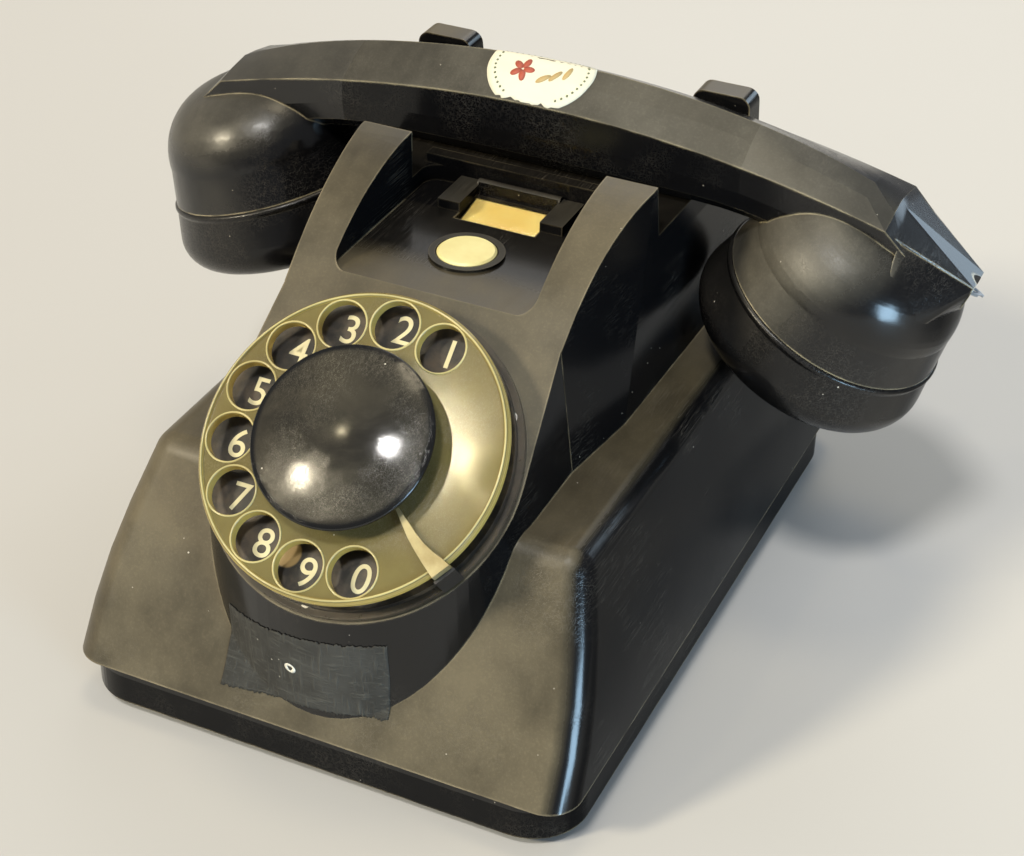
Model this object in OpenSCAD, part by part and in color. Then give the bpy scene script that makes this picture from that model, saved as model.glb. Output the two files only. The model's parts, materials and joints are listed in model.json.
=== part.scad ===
// Rotary desk telephone: moulded housing with a sloping dial column, cradle and handset.
// Frame: +X to the right, +Y to the rear, +Z up, origin on the desk under the middle of the whole.
// Most modules work in the housing's own frame, with Y from the front rim and Z from the skirt's
// lower edge, and desk() brings that frame into place.

/* [Housing] */
// Width across the lower rim at the front
body_w = 151; // [148:0.5:154]
// Depth over the lower rim
body_d = 217; // [214:1:225]
// How much further out each side of the rim stands at the rear
rear_flare = 0.5; // [0:0.1:2]
// Height of the skirt below the rim
skirt_h = 11.7; // [10.5:0.1:13]
// How far the skirt is set in under the rim
skirt_inset = 1.2; // [0.8:0.1:2]
// Corner radius of the skirt
skirt_corner_r = 17; // [12:0.5:20]
// Height of the shoulders over the skirt's lower edge
shoulder_z = 69.4; // [66:0.2:71]
// How far the side walls lean in from rim to shoulder
wall_lean = 9.5; // [7:0.1:11]
// How far the side walls bow out between rim and shoulder
wall_bow = 2.2; // [0:0.1:3]
// How far the rear wall leans in from rim to shoulder
back_lean = 6.3; // [4:0.1:8]
// Corner radius of the rim
corner_r = 9.5; // [8:0.5:12]
// Rounding along the shoulders
shoulder_r = 8; // [6:0.5:10]
// Slope of the front face against the desk, in degrees
front_slope = 60; // [58:0.5:64]
// Thickness of the moulded walls
wall = 3.5; // [3:0.1:4]

/* [Column] */
// Front of the column behind the rim
nose_y = 3.8; // [3.3:0.1:5.8]
// Radius of the column's nose in plan
nose_r = 52; // [50:0.5:54]
// Radius of the plate around the dial
lobe_r = 44.2; // [43.8:0.1:46]
// Distance of the narrowest place behind the rim
waist_y = 69; // [65:0.5:73]
// Width of the plate at its narrowest place
waist_w = 81.2; // [78:0.2:86]
// Width over the straps at the cradle
strap_w = 89.6; // [87:0.2:94]
// Distance at which the plate starts to curve over
crown_y = 72.8; // [70:0.2:76]
// Radius of that curve
crown_r = 80; // [76:0.5:84]
// End of the straps at the cradle
strap_end = 120.8; // [119:0.2:123]
// Height at which the column's rear wall ends
rear_top_y = 192.8; // [192:0.2:195]
// How far the column's rear wall runs back towards its foot
rear_lean = 16; // [10:0.5:17]
// Rounding of the column's rear corners
column_r = 7; // [5:0.5:10]

/* [Recess and cradle] */
// Width between the straps
recess_w = 59.6; // [56:0.2:62]
// Height of the recess floor
recess_z = 110; // [109.6:0.1:110.5]
// Back of the recess
recess_back = 131.4; // [130:0.2:133]
// Thickness of the rib behind the recess
rib_t = 4.2; // [3.6:0.1:5]
// Height of that rib
rib_z = 117.7; // [116.5:0.1:118.5]
// Height of the cradle floor
cradle_z = 114.8; // [114:0.1:115.4]
// Front face of the rear horns
horn_y = 169.3; // [168.8:0.1:171]
// Thickness of a horn, front to back
horn_t = 8.6; // [7:0.2:11]
// Height of the horns
horn_z = 136; // [133:0.5:139]
// Width over both horns
horn_w = 106; // [102:0.5:107]
// Width of one horn at its top
horn_top_w = 17.5; // [15:0.5:19]
// Rounding of the horns' corners
horn_r = 3.5; // [2.5:0.1:4]

/* [Dial] */
// Slope of the dial against the desk, in degrees
dial_slope = 39.85; // [39.4:0.05:40.3]
// Dial centre behind the rim
dial_y = 35.5; // [35:0.1:36]
// Dial centre over the skirt's lower edge, on the plate
dial_z = 79.5; // [79:0.1:80]
// Radius of the finger wheel
wheel_r = 42; // [41:0.1:42.2]
// Thickness of the finger wheel
wheel_t = 3.4; // [3:0.1:3.8]
// Top of the finger wheel over the plate
wheel_top = 11.4; // [11:0.1:12]
// Radius of the circle through the finger holes
hole_ring_r = 33.7; // [33:0.1:33.9]
// Radius of a finger hole
finger_r = 6.5; // [6:0.1:6.6]
// Angle of the first finger hole, in degrees
first_hole = 65.8; // [63:0.1:68]
// Angle between finger holes, in degrees
hole_pitch = 25.17; // [24.6:0.01:25.6]
// Number of finger holes
hole_count = 10; // [10:1:10]
// Radius of the centre cap
cap_r = 24.9; // [24.2:0.1:25.2]
// Radius of its foot on the wheel
cap_foot_r = 20.5; // [19.5:0.1:21.2]
// Height of its widest place over the wheel's hub
cap_rim_h = 7.2; // [6.6:0.1:7.8]
// Height of the centre cap
cap_h = 12.2; // [11.4:0.1:13]
// Angle of the finger stop, in degrees
stop_angle = 324.5; // [322:0.5:327]
// Outer radius of the dial case
case_r = 38; // [37.5:0.1:38.4]
// Depth of the dial case behind the plate
case_depth = 24; // [23.5:0.1:25]
// Wall of the dial case
case_wall = 1.5; // [1.2:0.1:1.8]
// Radius of the dial spindle
spindle_r = 3; // [2.6:0.1:3.4]
// Radius of the relay and governor arbors
arbor_r = 1.5; // [1.2:0.1:1.8]
// Module of the main gear and its pinion
main_m = 0.75; // [0.72:0.01:0.76]
// Module of the governor gears
gov_m = 0.6; // [0.58:0.01:0.62]

/* [Earth button and card] */
// Button centre behind the rim
button_y = 95.4; // [94.4:0.1:96.3]
// Radius of the button
button_r = 8.3; // [7.8:0.1:8.6]
// Travel of the button
button_travel = 2; // [1.5:0.1:2.4]
// Radius of the button's stem
button_stem_r = 2.5; // [2.2:0.1:2.8]
// Half width of the card frame
frame_hw = 19.3; // [18:0.1:21]
// Height of the card frame over the recess floor
frame_h = 3; // [2.4:0.1:3.6]
// Half width of the card
card_hw = 11.8; // [11:0.1:12.4]
// Length of the card
card_l = 12.6; // [11.6:0.1:13]
// Slope of the card, in degrees
card_slope = 11; // [8:0.5:13]

/* [Cradle switch] */
// Distance of each plunger from the middle
plunger_x = 37; // [35:0.5:38]
// Radius of a plunger
plunger_r = 2.95; // [2.6:0.05:3.2]
// Travel of the plungers
plunger_travel = 4; // [3:0.1:4]
// Distance of the lever's pin behind the rim
pivot_y = 178.8; // [178:0.2:180]
// Radius of the lever's pin
pivot_r = 1.5; // [1.2:0.1:1.8]

/* [Base and ringer] */
// Height of the rubber feet below the skirt
foot_h = 3; // [2:0.5:5]
// Radius of a rubber foot
foot_r = 8; // [7:0.5:9]
// Thickness of the base plate
plate_t = 2; // [1.5:0.1:2.5]
// Radius of a bell gong
gong_r = 25; // [23:0.5:26]
// Height of a bell gong
gong_h = 13; // [11:0.5:15]
// Gap between the gongs
gong_gap = 9; // [8:0.2:10]
// Radius of the cord bushes' bore
cord_r = 3.2; // [2.8:0.1:3.6]
// Distance of each cord bush from the middle
cord_x = 20; // [14:0.5:26]

/* [Handset] */
// Middle of the handset behind the rim
handset_y = 152.8; // [152.3:0.1:153.3]
// Height of the grip's edges at the middle
edge_z = 135.8; // [135.4:0.1:136.2]
// Fall of the grip's edges from the middle to the ends
edge_fall = 14; // [12.5:0.1:15]
// Half length of the grip's straight top
grip_hl = 104; // [102:0.5:106]
// Half width of the grip at its edges
grip_hw = 14; // [13.2:0.1:14.6]
// Height of the grip's crown over its edges
crown_h = 8.2; // [7:0.1:9]
// Distance of the receiver's centre from the middle
ear_x = 93.5; // [93:0.1:94]
// Height of the receiver's seam
ear_z = 87.6; // [87:0.1:88.5]
// Inward tilt of the receiver, in degrees
ear_tilt = 17.8; // [16.5:0.1:19]
// Distance of the mouthpiece's centre from the middle
mouth_x = 89.1; // [88.8:0.1:90]
// Height of the mouthpiece's seam
mouth_z = 89.5; // [89:0.1:90.5]
// Inward tilt of the mouthpiece, in degrees
mouth_tilt = 27; // [25.5:0.1:27.5]
// Radius of the cups at their seams
cup_r = 33.9; // [33:0.1:34.3]
// Height of a cup's bulb over its seam
bulb_h = 32; // [31:0.2:33]
// Rounding of a cup's bulb
bulb_round = 21.3; // [20:0.1:22]
// How much narrower a cup is under its bulb
cup_flare = 2; // [1:0.1:3]
// Height of the screw caps
cap_depth = 22; // [20.5:0.1:22.6]
// How much wider a screw cap gets below its seam
cap_flare = 2.4; // [1:0.1:2.8]
// Rounding of a screw cap's lower edge
cap_round = 9; // [7:0.5:10]
// Wall of the screw caps
cap_wall = 3; // [2.6:0.1:3.4]

/* [Fits] */
// Radial clearance of a running fit
run_gap = 0.05; // [0.03:0.01:0.08]
// Radial clearance of a loose fit
loose_gap = 0.1; // [0.1:0.05:0.3]
// Gap between pieces that rest against each other
rest_gap = 0.3; // [0.2:0.05:0.4]

/* [Hidden] */
$fn = 64;
hull_fn = 32;
skin = 0.1;
far = 300;
sides = [-1, 1];

// Housing places
front_hw = body_w / 2;
rear_hw = front_hw + rear_flare;
shoulder_rise = shoulder_z - shoulder_r - skirt_h;
shoulder_y = (shoulder_r + shoulder_rise * cos(front_slope)) / sin(front_slope);
crown_cy = crown_y + crown_r * sin(dial_slope);
crown_cz = plate_z(crown_y) - crown_r * cos(dial_slope);
strap_z = crown_cz + crown_r;
boss_r = 5.5;
boss_inset = 15;
screw_r = 1.5;
floor_z = 0.6;
base_top = floor_z + plate_t;
bush_z = 20;
bush_out = 1.2;
foot_hw = 54;

// Dial places
wheel_z = wheel_top - wheel_t;
flange_t = 2;
flange_r = wheel_r + 1.6;
plate_h = flange_t + 0.05;
number_t = 2.2;
case_fit = 0.6;
case_back = -case_depth;
bridge_z = -3.5;
bridge_t = 1.5;
back_t = 2;
hub_r = 5;
hub_flange_r = 9.5;
wheel_step = 0.8;
wheel_edge = 0.5;
hub_z = wheel_top - wheel_step + 0.02;
clip_t = 0.3;
cap_ring_r = 13.2;
cap_shell = 1.6;
cap_edge = 0.3;
dome_rise = cap_h - cap_rim_h - 2 * cap_edge;
dome_r = (pow(cap_r - cap_edge, 2) + pow(dome_rise, 2)) / (2 * dome_rise);
main_teeth = 48;
relay_pinion_teeth = 12;
relay_teeth = 36;
gov_teeth = 12;
relay_x = -main_m * (main_teeth + relay_pinion_teeth) / 2;
gov_a = gov_m * (relay_teeth + gov_teeth) / 2;
gov_dir = -75;
gov_x = relay_x + gov_a * cos(gov_dir);
gov_y = gov_a * sin(gov_dir);
drum_r = 10.3;
main_gear_z = -8;
relay_gear_z = -14;

// Button and card places
bezel_r = 10.6;
bezel_barrel_r = 9.4;
bezel_depth = 12;
button_top = 1.4;
button_stem_out = 5;
card_front = 113.7;
pocket_l = card_l + 2.2;
card_drop = 3.2;

// Cradle switch places
grip_under = cradle_z + rest_gap;
roof_z = cradle_z - wall;
plunger_foot = roof_z - 14;
lever_top = plunger_foot - rest_gap;
lever_arm = pivot_y - handset_y;
pivot_z = lever_top - 1.4;
bracket_seat = pivot_z - 15;

// Ringer places
gong_x = gong_r + gong_gap / 2;
gong_y = body_d - 50;
gong_rim = base_top + 14;
gong_wall = 1.5;
arm_l = 37;
pin_y = gong_y - arm_l;
pin_r = 1.2;
clapper_z = 18;
yoke_l = 40;
yoke_y = pin_y + 5 - yoke_l;
yoke_hw = 18;
yoke_wall = 2.4;
yoke_top = 26;
sheet = 1.6;
core_x = 9.5;
core_r = 3;
winding_r = 7.8;
winding_l = 26;

// Circuit places
circuit_x = front_hw - 33;
circuit_y = dial_y + 37.3;
block_y = body_d - 17.5;

// Handset places
neck_r = cup_r - 4;
neck_h = 12;
capsule_r = neck_r - 3.5;
bulb_r = cup_r - cup_flare;
cap_out = cup_r + cap_flare;
bead_r = 1.1;
// Where the screw cap's sloping wall meets its rounded edge
cap_turn = atan2(cap_depth - cap_round - skin, cup_r - cap_out + cap_round)
  - acos(cap_round / norm([cap_depth - cap_round - skin, cup_r - cap_out + cap_round]));
beak_x = ear_x + (bulb_h - bulb_round) * sin(ear_tilt) + (bulb_r - bulb_round) * cos(ear_tilt) + bulb_round;
beak_z = 105.4;
beak_low = 95;
beak_tilt = 112;

// Middle of the whole, front to back, over which the frame's origin lies
front_reach = dial_y - (wheel_r - wheel_edge) * cos(dial_slope) - wheel_top * sin(dial_slope);
mid_y = (front_reach + body_d + bush_out) / 2;

function plate_z(y) = dial_z + (y - dial_y) * tan(dial_slope);

function cup_x(side) = side < 0 ? ear_x : mouth_x;
function cup_z(side) = side < 0 ? ear_z : mouth_z;
function cup_tilt(side) = side < 0 ? ear_tilt : mouth_tilt;

module desk() translate([0, -mid_y, foot_h]) children();
module on_dial() desk() translate([0, dial_y, dial_z]) rotate([dial_slope, 0, 0]) children();
module at_cup(side) desk() translate([side * cup_x(side), handset_y, cup_z(side)])
  rotate([0, side * cup_tilt(side), 0]) children();
module both() for (side = sides) scale([side, 1, 1]) children();
module disc(r, h) cylinder(r = r, h = h);
module ring(r_out, r_in, h) difference() {
  cylinder(r = r_out, h = h);
  translate([0, 0, -1]) cylinder(r = r_in, h = h + 2);
}
// A profile drawn in Y and Z, pushed out to both sides of the middle
module across(width) rotate([90, 0, 90]) translate([0, 0, -width / 2]) linear_extrude(width) children();

// ---------------------------------------------------------------- housing
// Outline of the skirt in plan, t inside the rim
module skirt_outline(t) offset(r = skirt_corner_r - t, $fn = 64) polygon([
  [-(front_hw - skirt_corner_r), skirt_corner_r], [front_hw - skirt_corner_r, skirt_corner_r],
  [rear_hw - skirt_corner_r, body_d - skirt_corner_r],
  [-(rear_hw - skirt_corner_r), body_d - skirt_corner_r]]);

// Half width of the low block at a share s of the way from the rim to the shoulders
function block_hw(rear, s) = (rear ? rear_hw : front_hw) - wall_lean * s + 4 * wall_bow * s * (1 - s);
// Corner centre of the low block at that height, for a corner of radius r
function corner_y(rear, s, r) = rear ? body_d - back_lean * s - r : s * shoulder_rise / tan(front_slope) + r;

// Low block from the rim to the rounded shoulders
module low_block(t) hull() for (side = sides, rear = [0, 1]) {
  for (s = [0 : 0.25 : 0.75]) let (r = corner_r + (shoulder_r - corner_r) * s)
    translate([side * (block_hw(rear, s) - r), corner_y(rear, s, r), skirt_h + s * shoulder_rise])
      cylinder(r = r - t, h = skin, $fn = 48);
  translate([side * (block_hw(rear, 1) - shoulder_r),
    rear ? body_d - back_lean - shoulder_r : shoulder_y, skirt_h + shoulder_rise])
    sphere(r = shoulder_r - t, $fn = hull_fn);
}

// Front of the column: from the dial's round plate down to the nose
module column_front(t) hull() {
  translate([0, dial_y, dial_z]) rotate([dial_slope, 0, 0])
    translate([0, 0, -t]) cylinder(r = lobe_r - t, h = skin, $fn = 72);
  translate([0, nose_y + nose_r, 0]) cylinder(r = nose_r - t, h = skin, $fn = 72);
  for (side = sides) {
    translate([side * (waist_w / 2 - t), waist_y, plate_z(waist_y) - t]) cube(skin, center = true);
    translate([side * (foot_hw - t), waist_y - 2, skin]) cube(skin, center = true);
  }
}

// Rear of the column: from the straps down to the foot
module column_rear(t) hull() {
  translate([0, 0, strap_z + 1])
    column_level(waist_w / 2 - 2.6, strap_w / 2, strap_w / 2 + 1.2, rear_top_y, t);
  column_level(foot_hw, foot_hw, foot_hw + 2, rear_top_y + rear_lean, t);
}
// One level of it, from its half widths at the waist, at the cradle and at the rounded rear
module column_level(waist, strap, rear, back, t) {
  linear_extrude(skin) polygon([[t - waist, waist_y - 2], [waist - t, waist_y - 2],
    [strap - t, strap_end - 2], [t - strap, strap_end - 2]]);
  for (side = sides) translate([side * (rear - column_r), back - column_r, 0])
    cylinder(r = column_r - t, h = skin, $fn = hull_fn);
}

// The column's top line: dial plate, curve over the straps, cradle floor
module top_line(t) {
  polygon([[-20, -1], [-20, plate_z(-20) - t / cos(dial_slope)],
    [crown_y + t * sin(dial_slope), plate_z(crown_y + t * sin(dial_slope)) - t / cos(dial_slope)],
    [crown_y + t * sin(dial_slope), -1]]);
  intersection() {
    translate([crown_cy, crown_cz]) circle(r = crown_r - t, $fn = 180);
    translate([crown_y, -1]) square([strap_end - crown_y - t, far]);
  }
  translate([strap_end - t - 2, -1]) square([far, cradle_z + 1 - t]);
}

module column(t) intersection() {
  union() {
    column_front(t);
    column_rear(t);
  }
  across(far) top_line(t);
}

// Space between the straps, over the recess floor and as far back as the rib
module recess_space(t, z, back) translate([0, 0, z - t]) linear_extrude(60)
  offset(r = 5 + t) square_xy(recess_w / 2 - 5, waist_y + 8, back - 5);
module square_xy(hw, y0, y1) translate([-hw, y0]) square([2 * hw, y1 - y0]);

// Two horns behind the handset, each on its side's rear corner of the column
module horns() intersection() {
  both() rotate([90, 0, 0]) translate([0, 0, -far]) linear_extrude(far) offset(r = horn_r, $fn = 32)
    polygon([[horn_w / 2 - horn_top_w + 2, cradle_z - 12],
      [horn_w / 2 - horn_top_w + horn_r, horn_z - horn_r], [horn_w / 2 - horn_r, horn_z - horn_r],
      [horn_w / 2 - horn_r, cradle_z + 6], [strap_w / 2 - 2, cradle_z - 12]]);
  across(far) polygon([[horn_y, cradle_z - 9], [horn_y + 1, horn_z + 1],
    [horn_y + horn_t, horn_z + 1], [horn_y + horn_t + 4, cradle_z - 9]]);
}

// The rib between the recess and the cradle, part of the housing
module rib() translate([-recess_w / 2 - 1, recess_back, recess_z - wall])
  cube([recess_w + 2, rib_t, rib_z - recess_z + wall]);

module bosses() {
  for (side = sides, rear = [0, 1])
    translate([side * boss_x(rear), boss_y(rear), base_top]) disc(boss_r, far);
}
function boss_x(rear) = (rear ? rear_hw : front_hw) - boss_inset;
function boss_y(rear) = rear ? body_d - boss_inset - 2 : boss_inset + 2;

module card_pocket() translate([0, card_front, recess_z - card_drop]) rotate([card_slope, 0, 0])
  translate([-card_hw - 0.6, -0.6, 0]) cube([2 * card_hw + 1.2, pocket_l, 20]);

module inner_space() difference() {
  union() {
    translate([0, 0, -1]) linear_extrude(skirt_h + 1 + skin) skirt_outline(skirt_inset + wall);
    low_block(wall);
    column(wall);
  }
  recess_space(wall, recess_z, recess_back + rib_t);
  bosses();
}

module housing() color([0.07, 0.07, 0.07]) desk() difference() {
  union() {
    linear_extrude(skirt_h) skirt_outline(skirt_inset);
    low_block(0);
    difference() {
      column(0);
      recess_space(0, recess_z, recess_back);
    }
    rib();
    horns();
  }
  inner_space();
  card_pocket();
  translate([0, dial_y, dial_z]) rotate([dial_slope, 0, 0]) {
    translate([0, 0, -wall - 3]) disc(case_r + case_fit, wall + 10);
    for (a = screw_angles()) rotate(a) translate([screw_ring_r(), 0, -wall - 1])
      disc(screw_r + run_gap, wall + 2);
  }
  translate([0, button_y, recess_z - wall - 5]) disc(bezel_barrel_r + loose_gap, 20);
  for (side = sides) translate([side * plunger_x, handset_y, roof_z - 2])
    disc(plunger_r + run_gap, wall + 4);
  for (side = sides, rear = [0, 1])
    translate([side * boss_x(rear), boss_y(rear), 0]) disc(screw_r + loose_gap, 18);
  for (side = sides) translate([side * cord_x, body_d - 20, bush_z]) rotate([-90, 0, 0])
    disc(cord_r + 2.1, 40);
}
function screw_angles() = [30, 150, 270];
function screw_ring_r() = case_r + case_fit + screw_r + 0.6;

module base_plate() color([0.35, 0.35, 0.33]) desk() difference() {
  translate([0, 0, floor_z]) linear_extrude(plate_t) skirt_outline(skirt_inset + wall + rest_gap);
  for (side = sides, rear = [0, 1]) {
    translate([side * boss_x(rear), boss_y(rear), -1]) disc(screw_r + loose_gap, 10);
    translate([side * foot_x(rear), foot_y(rear), -1]) disc(2 + loose_gap, 10);
  }
}
function foot_x(rear) = boss_x(rear) - 10;
function foot_y(rear) = boss_y(rear) + (rear ? -16 : 16);

module rubber_feet() color([0.12, 0.12, 0.12]) desk() for (side = sides, rear = [0, 1])
  translate([side * foot_x(rear), foot_y(rear), 0]) {
    translate([0, 0, -foot_h]) disc(foot_r, foot_h + floor_z);
    disc(2, base_top + 1);
  }

module base_screws() color([0.6, 0.58, 0.5]) desk() for (side = sides, rear = [0, 1])
  translate([side * boss_x(rear), boss_y(rear), floor_z]) difference() {
    union() {
      translate([0, 0, -1.5]) disc(3.2, 1.5);
      disc(screw_r, 13);
    }
    translate([-4, -0.4, -1.6]) cube([8, 0.8, 0.8]);
  }

module cord_bushes() color([0.1, 0.1, 0.1]) desk() for (side = sides)
  translate([side * cord_x, 0, bush_z]) rotate([-90, 0, 0]) difference() {
    union() {
      translate([0, 0, body_d - 8]) disc(cord_r + 2, 8 + bush_out);
      translate([0, 0, body_d - 7.4]) disc(cord_r + 3.6, 1.2);
      translate([0, 0, body_d - 0.3]) disc(cord_r + 3.6, 0.3 + bush_out);
    }
    translate([0, 0, body_d - 20]) disc(cord_r, 40);
  }

// ---------------------------------------------------------------- earth button and card
module button_bezel() color([0.06, 0.06, 0.06]) desk() translate([0, button_y, recess_z]) difference() {
  union() {
    disc(bezel_r, 0.9);
    translate([0, 0, -bezel_depth]) disc(bezel_barrel_r, bezel_depth);
  }
  translate([0, 0, 1.5 - bezel_depth]) disc(button_r + 0.35, bezel_depth);
  translate([0, 0, -bezel_depth - 1]) disc(button_stem_r + run_gap, 4);
}

module earth_button() color([0.86, 0.8, 0.6]) desk() translate([0, button_y, recess_z]) {
  difference() {
    union() {
      translate([0, 0, -6]) disc(button_r, 6 + button_top - 0.5);
      translate([0, 0, button_top - 0.5]) cylinder(r1 = button_r, r2 = button_r - 0.6, h = 0.5);
    }
    translate([0, 0, -7]) disc(button_r - 1.5, 6.6);
  }
  translate([0, 0, -bezel_depth - button_stem_out]) disc(button_stem_r, bezel_depth + button_stem_out);
}

// One unbroken coil of round wire, standing on Z = 0
module coil_spring(r, wire, height, turns) {
  seg = 12;
  ring_n = 6;
  steps = turns * seg;
  rise = height - 2 * wire;
  points = [for (i = [0 : steps]) for (k = [0 : ring_n - 1])
    let (a = i * 360 / seg, b = k * 360 / ring_n, d = r + wire * cos(b))
    [d * cos(a), d * sin(a), wire + rise * i / steps + wire * sin(b)]];
  faces = concat(
    [for (i = [0 : steps - 1]) for (k = [0 : ring_n - 1])
      let (a = i * ring_n + k, b = i * ring_n + (k + 1) % ring_n) [a, a + ring_n, b]],
    [for (i = [0 : steps - 1]) for (k = [0 : ring_n - 1])
      let (a = i * ring_n + k, b = i * ring_n + (k + 1) % ring_n) [b, a + ring_n, b + ring_n]],
    [for (k = [1 : ring_n - 2]) [0, k, k + 1]],
    [for (k = [1 : ring_n - 2]) [steps * ring_n, steps * ring_n + k + 1, steps * ring_n + k]]);
  polyhedron(points, faces, convexity = 10);
}

module button_spring() color("silver") desk()
  translate([0, button_y, recess_z - bezel_depth + 1.6])
    coil_spring((button_stem_r + button_r - 1.5) / 2, 0.5, bezel_depth - 2.2, 5);

module button_contacts() color([0.72, 0.6, 0.35]) desk()
  translate([0, button_y, recess_z - wall]) {
    leaf_z = wall - bezel_depth - button_stem_out - button_travel - 0.1;
    translate([bezel_barrel_r + 1, -5, leaf_z - 2.4]) cube([7, 10, -leaf_z + 2.4]);
    for (k = [0, 1]) translate([-button_stem_r - 2, -2.5, leaf_z - 0.4 - 1.4 * k])
      cube([bezel_barrel_r + button_stem_r + 3.2, 5, 0.4]);
  }

module card_frame() color([0.08, 0.08, 0.08]) desk() difference() {
  union() {
    translate([-frame_hw, card_front + 2.2, recess_z])
      cube([2 * frame_hw, recess_back - card_front - 2.4, frame_h]);
    translate([0, card_front + pocket_l + 1.2, recess_z + frame_h - 0.4]) rotate([0, 90, 0])
      translate([0, 0, -card_hw - 1.1]) disc(1.7, 2 * card_hw + 2.2);
  }
  translate([-card_hw - 0.6, 0, recess_z - 1]) cube([2 * card_hw + 1.2, card_front + pocket_l, 20]);
  card_pocket();
}

module on_card() desk() translate([0, card_front, recess_z - card_drop]) rotate([card_slope, 0, 0])
  children();
module card() color([0.85, 0.76, 0.45]) on_card() translate([-card_hw, 0, 0.02])
  cube([2 * card_hw, card_l, 0.4]);
module card_window() color([0.9, 0.9, 0.8, 0.3]) on_card() translate([-card_hw, 0, 0.45])
  cube([2 * card_hw, card_l, 0.6]);

// ---------------------------------------------------------------- dial
module dial_case() color([0.3, 0.29, 0.27]) on_dial() difference() {
  union() {
    ring(flange_r, case_r - case_wall, flange_t);
    translate([0, 0, case_back]) ring(case_r, case_r - case_wall, case_depth + 1);
    translate([0, 0, case_back]) disc(case_r - 0.5, back_t);
    for (a = pillar_angles()) rotate(a) translate([case_r - 6, 0, case_back])
      disc(2.2, case_depth + bridge_z);
  }
  translate([0, 0, case_back - 1]) disc(spindle_r + run_gap, 4);
  translate([relay_x, 0, case_back - 1]) disc(arbor_r + run_gap, 4);
  translate([gov_x, gov_y, case_back - 1]) disc(arbor_r + run_gap, 4);
  for (a = screw_angles()) rotate(a) translate([screw_ring_r(), 0, -1]) disc(screw_r + loose_gap, 9);
}
function pillar_angles() = [60, 150, 300];

module dial_bridge() color([0.55, 0.5, 0.35]) on_dial() translate([0, 0, bridge_z]) difference() {
  disc(case_r - case_wall - loose_gap, bridge_t);
  translate([0, 0, -1]) disc(spindle_r + run_gap, 4);
  translate([relay_x, 0, -1]) disc(arbor_r + run_gap, 4);
  translate([gov_x, gov_y, -1]) disc(arbor_r + run_gap, 4);
  for (a = [20, 100, 330]) rotate(a) translate([22, 0, -1]) disc(6, 4);
}

module dial_screws() color("silver") on_dial() for (a = screw_angles())
  rotate(a) translate([screw_ring_r(), 0, 0]) translate([0, 0, -wall]) disc(screw_r, wall + flange_t);

module number_plate() color([0.06, 0.06, 0.06]) on_dial() translate([0, 0, plate_h])
  ring(wheel_r - 0.2, hub_flange_r + 1.5, number_t);

// Blade that stops the finger, on a post outside the wheel
module finger_stop() color([0.75, 0.72, 0.6]) on_dial() rotate(stop_angle) {
  post = wheel_r + 0.4;
  translate([0, 0, wheel_top + 0.5]) linear_extrude(1.1) polygon([
    [cap_r - 2, 0.2], [28, -0.8], [31, -1.4], [35, -1.8], [39, -2], [post + 1.1, -2.1],
    [post + 1.1, 3.2], [41, 2.7], [38, 1.8], [35, 1.2], [31, 0.95], [28, 1], [cap_r - 2, 1]]);
  translate([post, -2.1, flange_t + 0.02]) cube([1.1, 5.3, wheel_top - flange_t + 1]);
}

module stop_clip() color([0.15, 0.15, 0.15]) on_dial() rotate(stop_angle)
  translate([wheel_r + 1.52, -2.6, flange_t + 0.02]) cube([0.9, 6.2, wheel_top - flange_t - 1]);

module finger_wheel() color([0.75, 0.72, 0.5, 0.5]) on_dial() difference() {
  translate([0, 0, wheel_z]) rotate_extrude($fn = 96) polygon([[hub_r + loose_gap, 0],
    [wheel_r - 1, 0], [wheel_r, 1], [wheel_r, wheel_t - 0.7], [wheel_r - wheel_edge, wheel_t],
    [wheel_r - 1.1, wheel_t], [wheel_r - 1.5, wheel_t - 0.6], [cap_r + 0.9, wheel_t - 0.6],
    [cap_r + 0.5, wheel_t - wheel_step], [hub_r + loose_gap, wheel_t - wheel_step]]);
  for (k = [0 : hole_count - 1]) rotate(first_hole + hole_pitch * k)
    translate([hole_ring_r, 0, wheel_z - 1]) disc(finger_r, wheel_t + 2);
}

module dial_spindle() color([0.75, 0.7, 0.5]) on_dial() difference() {
  union() {
    translate([0, 0, case_back + 0.8]) disc(spindle_r, wheel_top - case_back - 2.5);
    translate([0, 0, wheel_z - 1.25]) disc(hub_flange_r, 1.2);
    translate([0, 0, wheel_z - 0.5]) disc(hub_r, wheel_t - wheel_step + 0.45);
  }
  translate([0, 0, 2]) disc(1.6, 20);
}

module hub_screw() color("silver") on_dial() translate([0, 0, hub_z + clip_t + 0.02]) difference() {
  union() {
    disc(6.4, 1.6);
    translate([0, 0, -8]) disc(screw_r, 8);
  }
  translate([-7, -0.5, 0.9]) cube([14, 1, 2]);
}

module cap_clip() color([0.7, 0.66, 0.5]) on_dial() translate([0, 0, hub_z]) difference() {
  disc(cap_ring_r - 0.2, clip_t);
  translate([0, 0, -1]) disc(screw_r + loose_gap, 3);
  for (a = [0, 120, 240]) rotate(a) translate([8.5, -1.5, -1]) cube([6, 3, 3]);
}

// Half section of the centre cap, t inside it: narrow foot, overhanging rim, low dome
module cap_outline(t) intersection() {
  translate([0, cap_h - dome_r]) circle(r = dome_r - t, $fn = 180);
  polygon([[0, -t], [cap_foot_r - t, -t], [cap_r - cap_edge - t, cap_rim_h - 2 * cap_edge],
    [cap_r - t, cap_rim_h], [cap_r - cap_edge - t, cap_rim_h + 2 * cap_edge],
    [cap_r - cap_edge - t, cap_h], [0, cap_h]]);
}
module centre_cap() color([0.05, 0.05, 0.05]) on_dial() translate([0, 0, hub_z]) {
  rotate_extrude($fn = 96) difference() {
    cap_outline(0);
    cap_outline(cap_shell);
  }
  ring(cap_ring_r + 1.4, cap_ring_r, cap_h - cap_shell - 0.8);
}

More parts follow.
